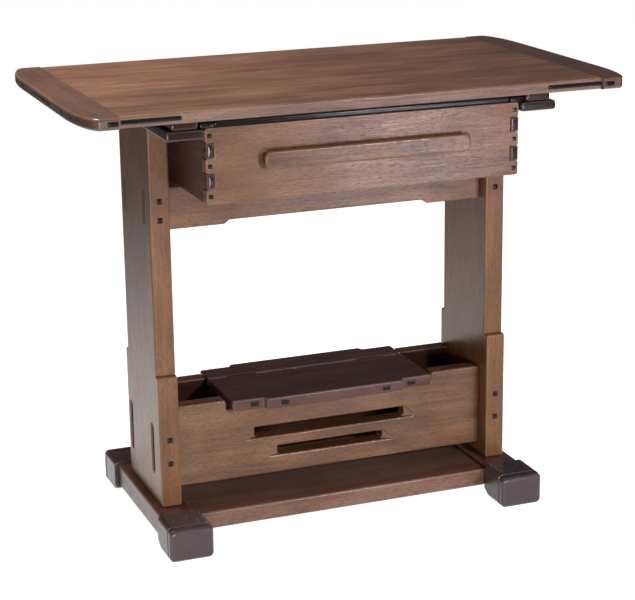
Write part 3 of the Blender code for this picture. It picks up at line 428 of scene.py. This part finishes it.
# Panel: a rectangle with one radius on the long edges and a small one where it meets the end boards.
# End board: quarter ellipses at the outer corners of its plan.
def buildTop():
    outline = np.array(((-panelEnd, panelLow[1]), (panelEnd, panelLow[1]),
                        (panelEnd, panelHigh[1]), (-panelEnd, panelHigh[1])))
    arris = (topSizes["edge"], topSizes["joint"], topSizes["edge"], topSizes["joint"])
    mesh = boardMesh(outline, "XY", panelLow[2], panelHigh[2], arris)
    makePiece("topPanel", mesh, topWood, "table", ["top_panel"])
    turn = np.linspace(0, math.pi / 2, meshSizes["arcSteps"])
    across, along = topSizes["cornerAcross"], topSizes["cornerAlong"]
    corner = np.stack((endOuter - across * (1 - np.sin(turn)), along * (1 - np.cos(turn)) - endHigh[1]), -1)
    first, last = ((endLow[0], endLow[1]),), ((endLow[0], endHigh[1]),)
    plan = np.concatenate((first, corner, corner[::-1] * (1, -1), last))
    radii = np.full(len(plan), topSizes["endEdge"])
    radii[-1] = topSizes["joint"]
    for side, label in sides:
        outline, arris = plan, radii
        if side < 0:
            outline = (plan * (-1, 1))[::-1]
            arris = np.roll(radii[::-1], -1)
        mesh = boardMesh(outline, "XY", endLow[2], endHigh[2], arris)
        makePiece("endBoard_" + label, mesh, endWood, "table", ["breadboard_end_" + label])


splineSizes = {"height": 0.0074, "sunk": 0.006, "arris": 0.0030, "corner": 0.0034, "dome": 0.0,
               "panelProud": 0.0026, "endProud": 0.0014, "endHeight": 0.0088, "step": 0.0017}
edgePlugs = {"alongY": (-0.182, -0.13, 0.13, 0.182), "width": 0.009, "height": 0.0068, "long": 0.116,
             "sunk": 0.004, "proud": 0.0004, "arris": 0.0009, "corner": 0.0013, "dome": 0.0005}


# Bars let into the edges of the top across its joints, and plugs in the ends' outer edges
def buildTopPlugs():
    middle = (panelLow[2] + panelHigh[2]) / 2
    panelBar = dict(splineSizes, proud=splineSizes["panelProud"])
    endBar = dict(splineSizes, proud=splineSizes["endProud"], height=splineSizes["endHeight"])
    for side, label in sides:
        for end, place in ends:
            low, high = nodeBox(f"breadboard_spline_{label}_{place}")
            reach = np.sort(np.abs((low[0], high[0])))
            bars = ((reach[0], panelEnd, end * panelHigh[1], panelBar),
                    (endLow[0] + splineSizes["step"], reach[1], end * endHigh[1], endBar))
            meshes = []
            for inner, outer, face, bar in bars:
                x = side * (inner + outer) / 2
                meshes.append(plugMesh("XZ", x, middle, outer - inner, bar["height"], face, end, bar))
            makePiece(f"edgeSpline_{label}_{place}", joined(meshes), ebony, "table",
                      [f"breadboard_spline_{label}_{place}"])
        plugs = [plugMesh("YZ", y, middle, edgePlugs["width"], edgePlugs["height"],
                          side * endEdgeAt(y), side, edgePlugs) for y in edgePlugs["alongY"]]
        plugs.append(plugMesh("YZ", 0.0, middle, edgePlugs["long"], edgePlugs["height"],
                              side * endOuter, side, edgePlugs))
        makePiece("endPlugs_" + label, joined(plugs), ebony, "table")


# Outer edge of an end board at a depth: straight in the middle, a quarter ellipse beyond
def endEdgeAt(y):
    straight = endHigh[1] - topSizes["cornerAlong"]
    past = max(0.0, abs(y) - straight) / topSizes["cornerAlong"]
    return endOuter - topSizes["cornerAcross"] * (1 - math.sqrt(1 - past ** 2))


buildTop()
buildTopPlugs()
print("top done")


# Bearers and legs

bearerSizes = {"corner": 0.0050, "end": 0.0042}
legSizes = {"arris": 0.0032, "corner": 0.004, "ledge": 0.2765, "ledgeRise": 0.0012, "upper": 0.084,
            "notch": 0.0008, "seat": 0.0003}
# Tenons that show on the leg's outer face: height of the middle, length, and how far they are sunk
tenonSizes = {"upper": (0.55125, 0.057, 0.0), "lower": (0.143, 0.084, 0.005), "width": 0.0135,
              "arris": 0.0008, "gap": 0.0005, "mouth": 0.0025, "mouthShare": 0.98, "deep": 0.010,
              "cutArris": 0.0001}
pegSizes = {"sunk": 0.006, "proud": 0.0004, "arris": 0.0010, "corner": 0.0013, "dome": 0.0003}
nodePeg = {"proud": 0.0008, "numbers": range(1, 5)}


# A flange and a neck over each leg, both rounded bars
def buildBearers():
    for _, label in sides:
        for part in ("flange", "neck"):
            node = f"bearer_{part}_{label}"
            mesh = barMesh(*nodeBox(node), bearerSizes["corner"], bearerSizes["end"])
            makePiece(f"bearer{part.title()}_{label}", mesh, rubbed, "table", [node])


# Round-ended slot standing up: two half circles joined by straight sides
def slotOutline(u, v, width, height):
    turn = np.linspace(0, math.pi, meshSizes["arcSteps"])
    cap = np.stack((np.cos(turn), np.sin(turn)), -1) * width / 2 + (0.0, height / 2 - width / 2)
    return np.concatenate((cap, -cap)) + (u, v)


# Slot-shaped block across a leg between two depths in either order, grown all round
def slotBlock(y, z, height, grow, first, second, arris):
    outline = slotOutline(y, z, tenonSizes["width"] + 2 * grow, height + 2 * grow)
    return boardMesh(outline, "YZ", min(first, second), max(first, second), arris)


# Side view of a leg: straight above, wider below the ledge. The rails' tenons show on its outer face, the
# lower ones sunk in a mouth with a rounded rim
def buildLegs():
    bottom = nodeBox("foot_beam_left")[1][2] + legSizes["seat"]
    top = nodeBox("bearer_flange_left")[0][2] - legSizes["seat"]
    upper, corner, notch = legSizes["upper"], legSizes["corner"], legSizes["notch"]
    outside, inside = legSizes["ledge"], legSizes["ledge"] + legSizes["ledgeRise"]
    mouth = tenonSizes["mouth"]
    rim = mouth * tenonSizes["mouthShare"]
    for side, label in sides:
        low, high = nodeBox("leg_" + label)
        wide = high[1]
        outline = roundedOutline((
            (-wide, bottom, corner), (wide, bottom, corner), (wide, outside, corner), (upper, inside, notch),
            (upper, top, corner), (-upper, top, corner), (-upper, inside, notch), (-wide, outside, corner)))
        outer = high[0] if side > 0 else low[0]
        deep, past = outer - side * tenonSizes["deep"], outer + side * tenonSizes["deep"]
        tenons, cutters = [], []
        for rail, kind in (("apron_front", "upper"), ("apron_rear", "upper"),
                           ("box_rail_front", "lower"), ("box_rail_rear", "lower")):
            z, height, sunk = tenonSizes[kind]
            railLow, railHigh = nodeBox(rail)
            y = (railLow[1] + railHigh[1]) / 2
            cutters.append(slotBlock(y, z, height, tenonSizes["gap"], deep, past, tenonSizes["cutArris"]))
            if sunk:
                inner, proud = outer - side * mouth, outer + side * mouth
                cutters.append(slotBlock(y, z, height, mouth, inner, proud, rim))
            tenons.append(slotBlock(y, z, height, 0.0, deep, outer - side * sunk, tenonSizes["arris"]))
        mesh = boardMesh(outline, "YZ", low[0], high[0], legSizes["arris"])
        makePiece("leg_panel_" + label, mesh, mahogany, "table", ["leg_" + label], cutters)
        # Tenon ends: darker as end grain and as painted shade in their mouths
        makePiece("legTenons_" + label, joined(tenons), tenonWood, "table")


# Middle, width and height of a peg's node seen from the front, and the face it stands proud of
def pegPlace(node):
    low, high = nodeBox(node)
    x, _, z = (low + high) / 2
    width, _, height = high - low
    return x, z, width, height, low[1] + nodePeg["proud"]


# Square plugs of the legs, in front where the nodes are and mirrored on the rear
def buildPegs():
    for side, label in sides:
        rear = []
        for number in nodePeg["numbers"]:
            node = f"leg_peg_{label}_{number}"
            x, z, width, height, face = pegPlace(node)
            front = plugMesh("XZ", x, z, width, height, face, -1, pegSizes)
            makePiece("legPlug_" + label + str(number), front, ebony, "table", [node])
            rear.append(plugMesh("XZ", x, z, width, height, -face, 1, pegSizes))
        makePiece("legPlugsRear_" + label, joined(rear), ebony, "table")


buildBearers()
buildLegs()
buildPegs()
print("bearers and legs done")


# Aprons and the lower box

apronSizes = {"arris": 0.003, "lift": 0.0065, "liftHalf": 0.171, "slope": 0.009, "ease": 0.0036,
              "end": 0.0036}
railSizes = {"arris": 0.0036, "end": 0.0044, "notchEase": (0.006, 0.003), "notchHalf": (0.187, 0.1828),
             "notchDeep": 0.0175, "notchCorner": 0.002, "slotCorner": 0.006, "lip": 0.003, "lipSteps": 6,
             "slots": ((0.1484, 0.275, 0.0195), (0.1116, 0.194, 0.0167)), "runLength": 0.018,
             "runDeep": 0.007, "runSteps": 13, "runTip": 0.01, "rollSteps": 5, "past": 0.02,
             "legGap": 0.0004, "inward": 0.9}


# Half length of a rail between the legs' inner faces
def shoulder():
    return nodeBox("leg_right")[0][0] - railSizes["legGap"]


# Lower edge lifted in its middle stretch, with eased steps
def buildAprons():
    half = shoulder()
    for node, name in (("apron_front", "apronFront"), ("apron_rear", "apronRear")):
        low, high = nodeBox(node)
        lift, foot = apronSizes["liftHalf"], apronSizes["liftHalf"] + apronSizes["slope"]
        raised = low[2] + apronSizes["lift"]
        ease, corner = apronSizes["ease"], apronSizes["end"]
        outline = roundedOutline((
            (-half, low[2], corner), (-foot, low[2], ease), (-lift, raised, ease), (lift, raised, ease),
            (foot, low[2], ease), (half, low[2], corner), (half, high[2], corner), (-half, high[2], corner)))
        mesh = boardMesh(outline, "XZ", low[1], high[1], apronSizes["arris"])
        makePiece(name, mesh, plainWood, "table", [node])


# Slot cutter: the outline spreads by lip(1 - sin t) at depth lip(1 - cos t), so the mouth is rounded over
def mouthMesh(outline, plane, front, back, lip):
    step, _ = inwardSteps(outline, 1.0)
    turn = np.linspace(0, math.pi / 2, railSizes["lipSteps"])
    spread = np.concatenate(((lip,), lip * (1 - np.sin(turn)), (0.0,)))
    depth = np.concatenate(((front - railSizes["past"],), front + lip * (1 - np.cos(turn)), (back,)))
    rings = outline - step * spread[:, None, None]
    level = np.broadcast_to(depth[:, None, None], (*rings.shape[:2], 1))
    return ringMesh(np.concatenate((rings, level), -1), plane)


# Run-out past the end of a slot: its depth falls evenly to nothing, its edges roll over by the lip
def runOutMesh(side, end, front, low, high):
    longest = 1.0 + railSizes["slotCorner"] / railSizes["runLength"]
    share = np.linspace(longest, railSizes["runTip"], railSizes["runSteps"])
    x = side * (end + railSizes["runLength"] * (1 - share))
    deep = railSizes["runDeep"] * share
    lip = railSizes["lip"]
    turn = np.linspace(0, math.pi / 2, railSizes["rollSteps"])
    roll = np.minimum(lip, deep)[:, None] * (1 - np.cos(turn))
    out = np.broadcast_to(lip * (1 - np.sin(turn)), roll.shape)
    start = np.full((len(x), 1), -railSizes["past"])
    floor = deep[:, None]
    y = front + np.concatenate((start, roll, floor, floor, roll[:, ::-1], start), 1)
    over = (low + (high - low) * np.minimum(share, 1.0))[:, None]
    under = np.full(floor.shape, low)
    z = np.concatenate((low - out[:, :1], low - out, under, over, over + out[:, ::-1], over + out[:, :1]), 1)
    rings = np.stack((y, z, np.broadcast_to(x[:, None], y.shape)), -1)
    return ringMesh(rings if side > 0 else rings[::-1], "YZ")


# Rail with a notch for the lid; the front one has two slots with run-outs at their ends. Faces that look into
# the box get a darker colour, painted shade for the box's dark inside
def buildRails():
    half = shoulder()
    for node, name, slotted in (("box_rail_front", "railFront", True), ("box_rail_rear", "railRear", False)):
        low, high = nodeBox(node)
        floor = high[2] - railSizes["notchDeep"]
        corner, inner = railSizes["end"], railSizes["notchCorner"]
        notch, ease = (railSizes[key][0 if slotted else 1] for key in ("notchHalf", "notchEase"))
        outline = roundedOutline((
            (-half, low[2], corner), (half, low[2], corner), (half, high[2], corner), (notch, high[2], ease),
            (notch, floor, inner), (-notch, floor, inner), (-notch, high[2], ease), (-half, high[2], corner)))
        cutters = []
        if slotted:
            for z, length, height in railSizes["slots"]:
                end, under, over = length / 2, z - height / 2, z + height / 2
                slot = rectangleOutline(-end, under, end, over, railSizes["slotCorner"])
                cutters.append(mouthMesh(slot, "XZ", low[1], high[1] + railSizes["past"], railSizes["lip"]))
                cutters += [runOutMesh(side, end, low[1], under, over) for side, _ in sides]
        mesh = boardMesh(outline, "XZ", low[1], high[1], railSizes["arris"])
        made = makePiece(name, mesh, plainWood, "table", [node], cutters)
        # Painted shade on the faces that look into the box
        made.data.materials.append(insideWood)
        inward = -1 if low[1] > 0 else 1
        for polygon in made.data.polygons:
            polygon.material_index = int(polygon.normal[1] * inward > railSizes["inward"])


lidSizes = {"arris": 0.0036, "corner": 0.005, "stepOut": 0.010, "stepHalf": 0.122, "slope": 0.005,
            "ease": 0.0042, "lidBack": 0.0022, "stripFore": 0.0010}


# Plan of a lid board: one long edge steps out in its middle stretch
def lidOutline(half, endY, straightY):
    outward = 1 if endY > straightY else -1
    inner, outer = lidSizes["stepHalf"], lidSizes["stepHalf"] + lidSizes["slope"]
    proud = endY + outward * lidSizes["stepOut"]
    corner, ease = lidSizes["corner"], lidSizes["ease"]
    outline = roundedOutline((
        (-half, endY, corner), (-outer, endY, ease), (-inner, proud, ease), (inner, proud, ease),
        (outer, endY, ease), (half, endY, corner), (half, straightY, corner), (-half, straightY, corner)))
    return outline if outward < 0 else outline[::-1]


# Lid board and the fixed strip behind it, each with its stepped edge outwards and plugs in that edge
def buildLid():
    low, high = nodeBox("lid_board")
    step = lidSizes["stepOut"]
    outline = lidOutline(high[0], low[1] + step, high[1] + lidSizes["lidBack"])
    mesh = boardMesh(outline, "XY", low[2], high[2], lidSizes["arris"])
    # The lid and strip wood is painted darker, as shade under the top
    makePiece("lidBoard", mesh, lidShadeWood, "lid", ["lid_board"])
    stripLow, stripHigh = nodeBox("lid_strip_rear")
    outline = lidOutline(stripHigh[0], stripHigh[1] - step, stripLow[1] - lidSizes["stripFore"])
    mesh = boardMesh(outline, "XY", stripLow[2], stripHigh[2], lidSizes["arris"])
    makePiece("lidStrip", mesh, lidShadeWood, "table", ["lid_strip_rear"])
    rear = []
    for number in nodePeg["numbers"]:
        node = f"lid_peg_{number}"
        x, z, width, height, face = pegPlace(node)
        plug = plugMesh("XZ", x, z, width, height, face, -1, pegSizes)
        makePiece("lidPlug" + str(number), plug, ebony, "lid", [node])
        face = stripHigh[1] - (step if abs(x) > lidSizes["stepHalf"] else 0.0)
        rear.append(plugMesh("XZ", x, z, width, height, face, 1, pegSizes))
    makePiece("lidPlugsRear", joined(rear), ebony, "table")


buildAprons()
buildRails()
buildLid()
print("aprons and box done")


# Feet and shelf

footSizes = {"beamCorner": 0.0055, "beamEnd": 0.001, "toeGap": 0.0003, "shelfArris": 0.004,
             "shelfCorner": 0.0044, "shelfGap": 0.0004}
toeSizes = {"corner": 0.008, "cornerSteps": 6, "cornerShrink": 0.6, "cornerLeast": 0.002, "inner": 0.0015,
            "rise": 0.007, "riseStart": 0.003, "riseEnd": 0.016, "riseSteps": 6, "level": 0.035,
            "groove": 0.0575, "grooveHalf": 0.0016, "grooveEase": 0.0008, "grooveDeep": 0.0025,
            "grooveSide": 0.75, "end": 0.0075, "endSteps": 7, "dome": 0.0012}
footPegs = {"places": ((0.057, 0.0245), (0.004, 0.0225)), "size": 0.0065, "sunk": 0.003, "proud": 0.0,
            "arris": 0.0008, "corner": 0.0011, "dome": 0.0005}


# Toe: a rounded rectangle carried outwards. Its underside comes down to the floor along half a cosine, a
# groove parts off the end cap, and the end is drawn in along a quarter circle and domed by dome(1 - f^2)
def toeMesh(low, high, end):
    turn = np.linspace(0, math.pi / 2, toeSizes["endSteps"])
    rise = np.linspace(toeSizes["riseStart"], toeSizes["riseEnd"], toeSizes["riseSteps"])
    near, far = toeSizes["grooveHalf"], toeSizes["grooveHalf"] + toeSizes["grooveEase"]
    groove = toeSizes["groove"] + np.array((-far, -near, 0.0, near, far))
    sunk = toeSizes["grooveDeep"] * np.array((0.0, toeSizes["grooveSide"], 1.0, toeSizes["grooveSide"], 0.0))
    cap = np.array(meshSizes["domeRings"])
    out = high[1] - low[1] - toeSizes["dome"]
    distance = np.concatenate(((0.0, toeSizes["inner"]), rise, (toeSizes["level"],), groove,
                               out - toeSizes["end"] * (1 - np.sin(turn)), np.full(len(cap), out)))
    inset = np.concatenate(((toeSizes["inner"], 0.0), np.zeros(len(rise)), (0.0,), sunk,
                            toeSizes["end"] * (1 - np.cos(turn)), np.full(len(cap), toeSizes["end"])))
    climb = toeSizes["rise"] * (0.5 + 0.5 * np.cos(math.pi * np.clip(distance / toeSizes["riseEnd"], 0, 1)))
    half = (high[0] - low[0]) / 2 - inset
    bottom = low[2] + climb + inset
    top = high[2] - inset
    share = np.ones(len(distance))
    share[-len(cap):] = cap
    bulge = toeSizes["dome"] * (1 - share ** 2)
    steps = toeSizes["cornerSteps"]
    angle = np.concatenate([np.linspace(q, q + 1, steps) for q in range(4)]) * math.pi / 2
    quarter = np.repeat(np.arange(4), steps)
    signU = np.array((1, -1, -1, 1))[quarter]
    signV = np.array((1, 1, -1, -1))[quarter]
    shrunk = toeSizes["corner"] - inset * toeSizes["cornerShrink"]
    radius = np.maximum(shrunk, toeSizes["cornerLeast"])[:, None]
    u = (signU * (half[:, None] - radius) + radius * np.cos(angle)) * share[:, None]
    v = (signV * (((top - bottom) / 2)[:, None] - radius) + radius * np.sin(angle)) * share[:, None]
    start = low[1] if end > 0 else high[1]
    y = np.broadcast_to((start + end * (distance + bulge))[:, None], u.shape)
    rings = np.stack(((low[0] + high[0]) / 2 + u, ((top + bottom) / 2)[:, None] + v, y), -1)
    return ringMesh(rings if end > 0 else rings[::-1], "XZ")


# Beams between the toes, toes with pegs beside them, and the shelf between the beams
def buildFeet():
    for side, label in sides:
        low, high = nodeBox("foot_beam_" + label)
        high[1] = nodeBox(f"toe_{label}_rear")[0][1] - footSizes["toeGap"]
        low[1] = -high[1]
        mesh = barMesh(low, high, footSizes["beamCorner"], footSizes["beamEnd"])
        makePiece("footBeam_" + label, mesh, footWood, "table", ["foot_beam_" + label])
        for end, place in ends:
            node = f"toe_{label}_{place}"
            mesh = toeMesh(*nodeBox(node), end)
            makePiece(f"toeBlock_{label}_{place}", mesh, toeWood, "table", [node])
        outer = high[0] if side > 0 else low[0]
        pegs = [plugMesh("YZ", y, z, footPegs["size"], footPegs["size"], outer, side, footPegs)
                for y, z in footPegs["places"]]
        makePiece("footPlugs_" + label, joined(pegs), ebony, "table")
    low, high = nodeBox("shelf_board")
    half = nodeBox("foot_beam_right")[0][0] - footSizes["shelfGap"]
    outline = rectangleOutline(-half, low[1], half, high[1], footSizes["shelfCorner"])
    mesh = boardMesh(outline, "XY", low[2], high[2], footSizes["shelfArris"])
    makePiece("shelfBoard", mesh, shelfWood, "table", ["shelf_board"])


buildFeet()
print("feet and shelf done")


# Drawer

drawerSizes = {"fingers": 5, "thick": 0.013, "fingerOut": 0.0012, "fingerCorner": 0.004, "fingerGap": 0.0003,
               "arris": 0.0012, "pegSize": 0.0075, "pegInset": 0.0062, "keyWidth": 0.0130, "keyGap": 0.0004,
               "keyInset": 0.0066, "sidePegY": 0.009, "sidePegSize": 0.0065}
drawerPegs = {"sunk": 0.004, "proud": 0.0008, "arris": 0.0016, "corner": 0.0019, "dome": 0.001}
drawerKeys = {"sunk": 0.004, "proud": 0.0012, "arris": 0.0032, "corner": 0.0036, "dome": 0.0006}
pullSizes = {"corner": 0.0095, "bulge": 0.0025, "arris": 0.0038, "plate": 0.0085, "coreEnd": 0.022,
             "coreTop": 0.0125, "coreLift": 0.001, "coreCorner": 0.004, "coreLap": 0.002, "coreArris": 0.0005,
             "coreSunk": 0.003, "dishIn": 0.004, "dishOff": 0.007, "dishHalf": (0.0115, 0.012, 0.0185),
             "dishSteps": 33}
hangerSizes = {"corner": 0.0028, "end": 0.0024, "dome": 0.0006}


# Soft dish beside each end of the pull: the part of an ellipsoid that reaches into the board
def dishMesh(centreX, centreY, centreZ):
    along = np.linspace(-1, 1, pullSizes["dishSteps"])[1:-1]
    turn = np.linspace(0, 2 * math.pi, pullSizes["dishSteps"])[:-1]
    size = np.sqrt(1 - along ** 2)[:, None]
    halfX, halfY, halfZ = pullSizes["dishHalf"]
    y = centreY + halfY * size * np.cos(turn)
    z = centreZ + halfZ * size * np.sin(turn)
    rings = np.stack((y, z, np.broadcast_to(centreX + halfX * along[:, None], y.shape)), -1)
    return ringMesh(rings, "YZ")


# Front board with rounded fingers at both ends; the gaps between them hold the fingers of the sides
def buildDrawerFront():
    low, high = nodeBox("drawer_front")
    half = high[0]
    pitch = (high[2] - low[2]) / drawerSizes["fingers"]
    right = []
    for finger in range(drawerSizes["fingers"]):
        bottom, top = low[2] + finger * pitch, low[2] + (finger + 1) * pitch
        if finger % 2 == 0:
            out = half + drawerSizes["fingerOut"]
            right += [(out, bottom, drawerSizes["fingerCorner"]), (out, top, drawerSizes["fingerCorner"])]
        else:
            inner = half - drawerSizes["thick"] - drawerSizes["fingerGap"]
            right += [(inner, bottom, 0.0), (inner, top, 0.0)]
    left = [(-x, z, radius) for x, z, radius in reversed(right)]
    mesh = boardMesh(roundedOutline(right + left), "XZ", low[1], high[1], drawerSizes["arris"])
    pullLow, pullHigh = nodeBox("drawer_pull")
    middle = (pullLow[2] + pullHigh[2]) / 2
    dishes = [dishMesh(side * (pullHigh[0] - pullSizes["dishIn"]), low[1] - pullSizes["dishOff"], middle)
              for side, _ in sides]
    makePiece("drawerFront", mesh, plainWood, "drawer", ["drawer_front"], dishes)
    pegs, keys = [], []
    pegSize, sidePeg = drawerSizes["pegSize"], drawerSizes["sidePegSize"]
    tip = nodeBox("drawer_side_left")[0][1]
    for side, _ in sides:
        for finger in range(drawerSizes["fingers"]):
            z = low[2] + (finger + 0.5) * pitch
            if finger % 2 == 0:
                x = side * (half - drawerSizes["pegInset"])
                pegs.append(plugMesh("XZ", x, z, pegSize, pegSize, low[1], -1, drawerPegs))
            else:
                x = side * (half - drawerSizes["keyInset"])
                keyHeight = pitch - drawerSizes["keyGap"]
                keys.append(plugMesh("XZ", x, z, drawerSizes["keyWidth"], keyHeight, tip, -1, drawerKeys))
                y = low[1] + drawerSizes["sidePegY"]
                pegs.append(plugMesh("YZ", y, z, sidePeg, sidePeg, side * half, side, pegSizes))
    makePiece("drawerPlugs", joined(pegs), ebony, "drawer")
    makePiece("drawerKeys", joined(keys), rubbed, "drawer")


# Pull: a plate held off the front by a shorter, lower core, so that fingers go in behind it. Its ends swell
# by bulge(1 - s^2), where s runs from 0 at half height to 1 at the edges
def buildPull():
    low, high = nodeBox("drawer_pull")
    inner = high[0] - pullSizes["bulge"]
    outline = rectangleOutline(-inner, low[2], inner, high[2], pullSizes["corner"])
    share = np.abs(outline[:, 1] - (low[2] + high[2]) / 2) / ((high[2] - low[2]) / 2)
    outline[:, 0] += np.sign(outline[:, 0]) * pullSizes["bulge"] * (1 - share ** 2)
    back = low[1] + pullSizes["plate"]
    plate = boardMesh(outline, "XZ", low[1], back, pullSizes["arris"])
    coreHalf = high[0] - pullSizes["coreEnd"]
    coreLow, coreHigh = low[2] + pullSizes["coreLift"], high[2] - pullSizes["coreTop"]
    core = rectangleOutline(-coreHalf, coreLow, coreHalf, coreHigh, pullSizes["coreCorner"])
    coreMesh = boardMesh(core, "XZ", back - pullSizes["coreLap"], high[1] + pullSizes["coreSunk"],
                         pullSizes["coreArris"])
    makePiece("drawerPull", joined((plate, coreMesh)), plainWood, "drawer", ["drawer_pull"])


# Dark strip on the drawer's top edge and the hanging runners beside it, whose ends are domed
def buildHangers():
    corner, end = hangerSizes["corner"], hangerSizes["end"]
    mesh = barMesh(*nodeBox("drawer_top_strip"), corner, end)
    makePiece("drawerTopStrip", mesh, ebony, "drawer", ["drawer_top_strip"])
    for _, label in sides:
        mesh = barMesh(*nodeBox("drawer_runner_" + label), corner, end, hangerSizes["dome"])
        makePiece("drawerRunner_" + label, mesh, ebony, "drawer", ["drawer_runner_" + label])


buildDrawerFront()
buildPull()
buildHangers()
print("drawer done")


# Nodes that keep their own shape

# Drawer sides and stops take the side wood, whose darker colour is painted shade
plainNodes = {
    "drawer_side_left": sideShadeWood, "drawer_side_right": sideShadeWood,
    "drawer_back": plainWood, "drawer_bottom": lining, "box_floor": lining,
    "drawer_stop_left": sideShadeWood, "drawer_stop_right": sideShadeWood,
}
for name in nodes:
    if name.startswith("hinge_leaf"):
        plainNodes[name] = brass
    if name.startswith("bearer_screw"):
        plainNodes[name] = steel
for name, material in plainNodes.items():
    nodes[name].data.materials.clear()
    nodes[name].data.materials.append(material)
print("plain nodes:", len(plainNodes))


# Studio

studio = {"horizon": "#5a5a5a", "ceiling": "#303030", "seen": "#ffffff", "horizonLow": 0.15,
          "horizonTop": 0.5, "floorColour": "#d0d0d0", "floorGlow": 0.97, "floorSize": 40.0,
          "floorDrop": 0.0004, "poolNear": 0.7, "poolFar": 2.6, "poolDim": 0.1}


# A plain grey room: soft light from all round that darkens evenly from horizonLow to horizonTop, and white
# where the camera sees it
def buildWorld():
    world = bpy.data.worlds.new("studio")
    bpy.context.scene.world = world
    world.use_nodes = True
    tree = world.node_tree
    tree.nodes.clear()
    place = addNode(tree, "TexCoord").outputs["Generated"]
    height = addNode(tree, "SeparateXYZ", None, None, {0: place}).outputs["Z"]
    share = addNode(tree, "MapRange", None,
                    {"From Min": studio["horizonLow"], "From Max": studio["horizonTop"]}, {0: height})
    wall = addNode(tree, "Mix", {"data_type": "RGBA"},
                   {6: hexColour(studio["horizon"]), 7: hexColour(studio["ceiling"])}, {0: share})
    path = addNode(tree, "LightPath").outputs
    seen = addNode(tree, "Math", {"operation": "MAXIMUM"}, None,
                   {0: path["Is Camera Ray"], 1: path["Is Transmission Ray"]})
    shown = addNode(tree, "Mix", {"data_type": "RGBA"}, {7: hexColour(studio["seen"])},
                    {0: seen, 6: wall.outputs[2]})
    light = addNode(tree, "Background", None, {"Strength": 1.0}, {"Color": shown.outputs[2]})
    addNode(tree, "OutputWorld", None, None, {0: light})


# Floor: grey paint that takes the shadow, lifted to white for the camera; reflections see a painted pool of
# light, a white glow lit by no lamp that fades evenly from poolNear to poolFar metres
def buildFloor():
    size = studio["floorSize"]
    z = -studio["floorDrop"]
    corners = np.array(((-size, -size, z), (size, -size, z), (size, size, z), (-size, size, z)))
    floor = meshObject("floor", (corners, [[0, 1, 2, 3]]))
    material, tree = emptyMaterial("pale_floor")
    path = addNode(tree, "LightPath").outputs
    place = addNode(tree, "TexCoord").outputs["Object"]
    away = addNode(tree, "VectorMath", {"operation": "LENGTH"}, None, {0: place}).outputs["Value"]
    # Painted pool of light: the glow that reflections see fades with distance
    pool = addNode(tree, "MapRange", None,
                   {"From Min": studio["poolNear"], "From Max": studio["poolFar"], "To Min": 1.0,
                    "To Max": studio["poolDim"]}, {0: away})
    mirrored = addNode(tree, "Math", {"operation": "MAXIMUM"}, None,
                       {0: path["Is Glossy Ray"], 1: path["Is Transmission Ray"]})
    pooled = addNode(tree, "Math", {"operation": "MULTIPLY"}, None, {0: mirrored, 1: pool})
    seen = addNode(tree, "Math", {"operation": "MAXIMUM"}, None, {0: path["Is Camera Ray"], 1: pooled})
    strength = addNode(tree, "Math", {"operation": "MULTIPLY"}, {1: studio["floorGlow"]}, {0: seen})
    glow = addNode(tree, "Emission", None, None, {"Strength": strength})
    paint = addNode(tree, "BsdfDiffuse", None, {"Color": hexColour(studio["floorColour"])})
    both = addNode(tree, "AddShader", None, None, {0: paint, 1: glow})
    addNode(tree, "OutputMaterial", None, None, {0: both})
    floor.data.materials.append(material)


# Round lamps, in metres and watts: overhead for the top, two in front for the faces, a high one for the
# bright lines along the arrises, one behind for the far side
lamps = {
    "overhead": {"place": (-0.6, 0.2, 1.65), "size": 0.5, "power": 20.0, "colour": "#fff4ea"},
    "frontRight": {"place": (0.97, -2.25, 0.2), "size": 0.48, "power": 5.8, "colour": "#e9eeff"},
    "frontLeft": {"place": (-0.8, -3.2, 0.22), "size": 1.1, "power": 73.0, "colour": "#f8f9ff"},
    "frontHigh": {"place": (1.0, -2.6, 1.3), "size": 0.25, "power": 28.0, "colour": "#ffffff"},
    "backRight": {"place": (2.9, 1.4, 0.4), "size": 1.2, "power": 80.0, "colour": "#ffffff"},
}
lampAim = (0.0, 0.0, 0.4)


# Each lamp is turned about Z to its heading and tilted about X to its slope, both from the line to the aim
def buildLamps():
    for name, lamp in lamps.items():
        light = bpy.data.lights.new(name, "AREA")
        light.shape = "DISK"
        light.size = lamp["size"]
        light.energy = lamp["power"]
        light.color = hexColour(lamp["colour"])[:3]
        made = bpy.data.objects.new(name, light)
        bpy.context.scene.collection.objects.link(made)
        made.visible_camera = False
        aim = np.array(lampAim) - lamp["place"]
        turn = Matrix.Rotation(math.atan2(aim[1], aim[0]) - math.pi / 2, 4, "Z")
        tilt = Matrix.Rotation(math.pi / 2 + math.atan2(aim[2], math.hypot(aim[0], aim[1])), 4, "X")
        made.matrix_world = Matrix.Translation(lamp["place"]) @ turn @ tilt


cameraSizes = {"place": (-1.1066, -2.8896, 1.2466), "yaw": 0.3665, "pitch": 0.2826, "roll": -0.0130,
               "focalPixels": 1885.7, "widthPixels": 635.0, "sensor": 36.0}


# Turned right by yaw, down by pitch and rolled a little, in radians; the lens length is the focal length in
# pixels as a share of the picture's width. No lens shift, so that other views stay in the frame
def buildCamera():
    data = bpy.data.cameras.new("camera")
    data.sensor_fit = "HORIZONTAL"
    data.sensor_width = cameraSizes["sensor"]
    data.lens = cameraSizes["focalPixels"] * cameraSizes["sensor"] / cameraSizes["widthPixels"]
    made = bpy.data.objects.new("camera", data)
    bpy.context.scene.collection.objects.link(made)
    turn = Matrix.Rotation(-cameraSizes["yaw"], 4, "Z")
    tilt = Matrix.Rotation(math.pi / 2 - cameraSizes["pitch"], 4, "X")
    roll = Matrix.Rotation(cameraSizes["roll"], 4, "Z")
    made.matrix_world = Matrix.Translation(cameraSizes["place"]) @ turn @ tilt @ roll
    bpy.context.scene.camera = made


buildWorld()
buildFloor()
buildLamps()
buildCamera()
bpy.context.scene.view_settings.view_transform = "Standard"
print("studio done")
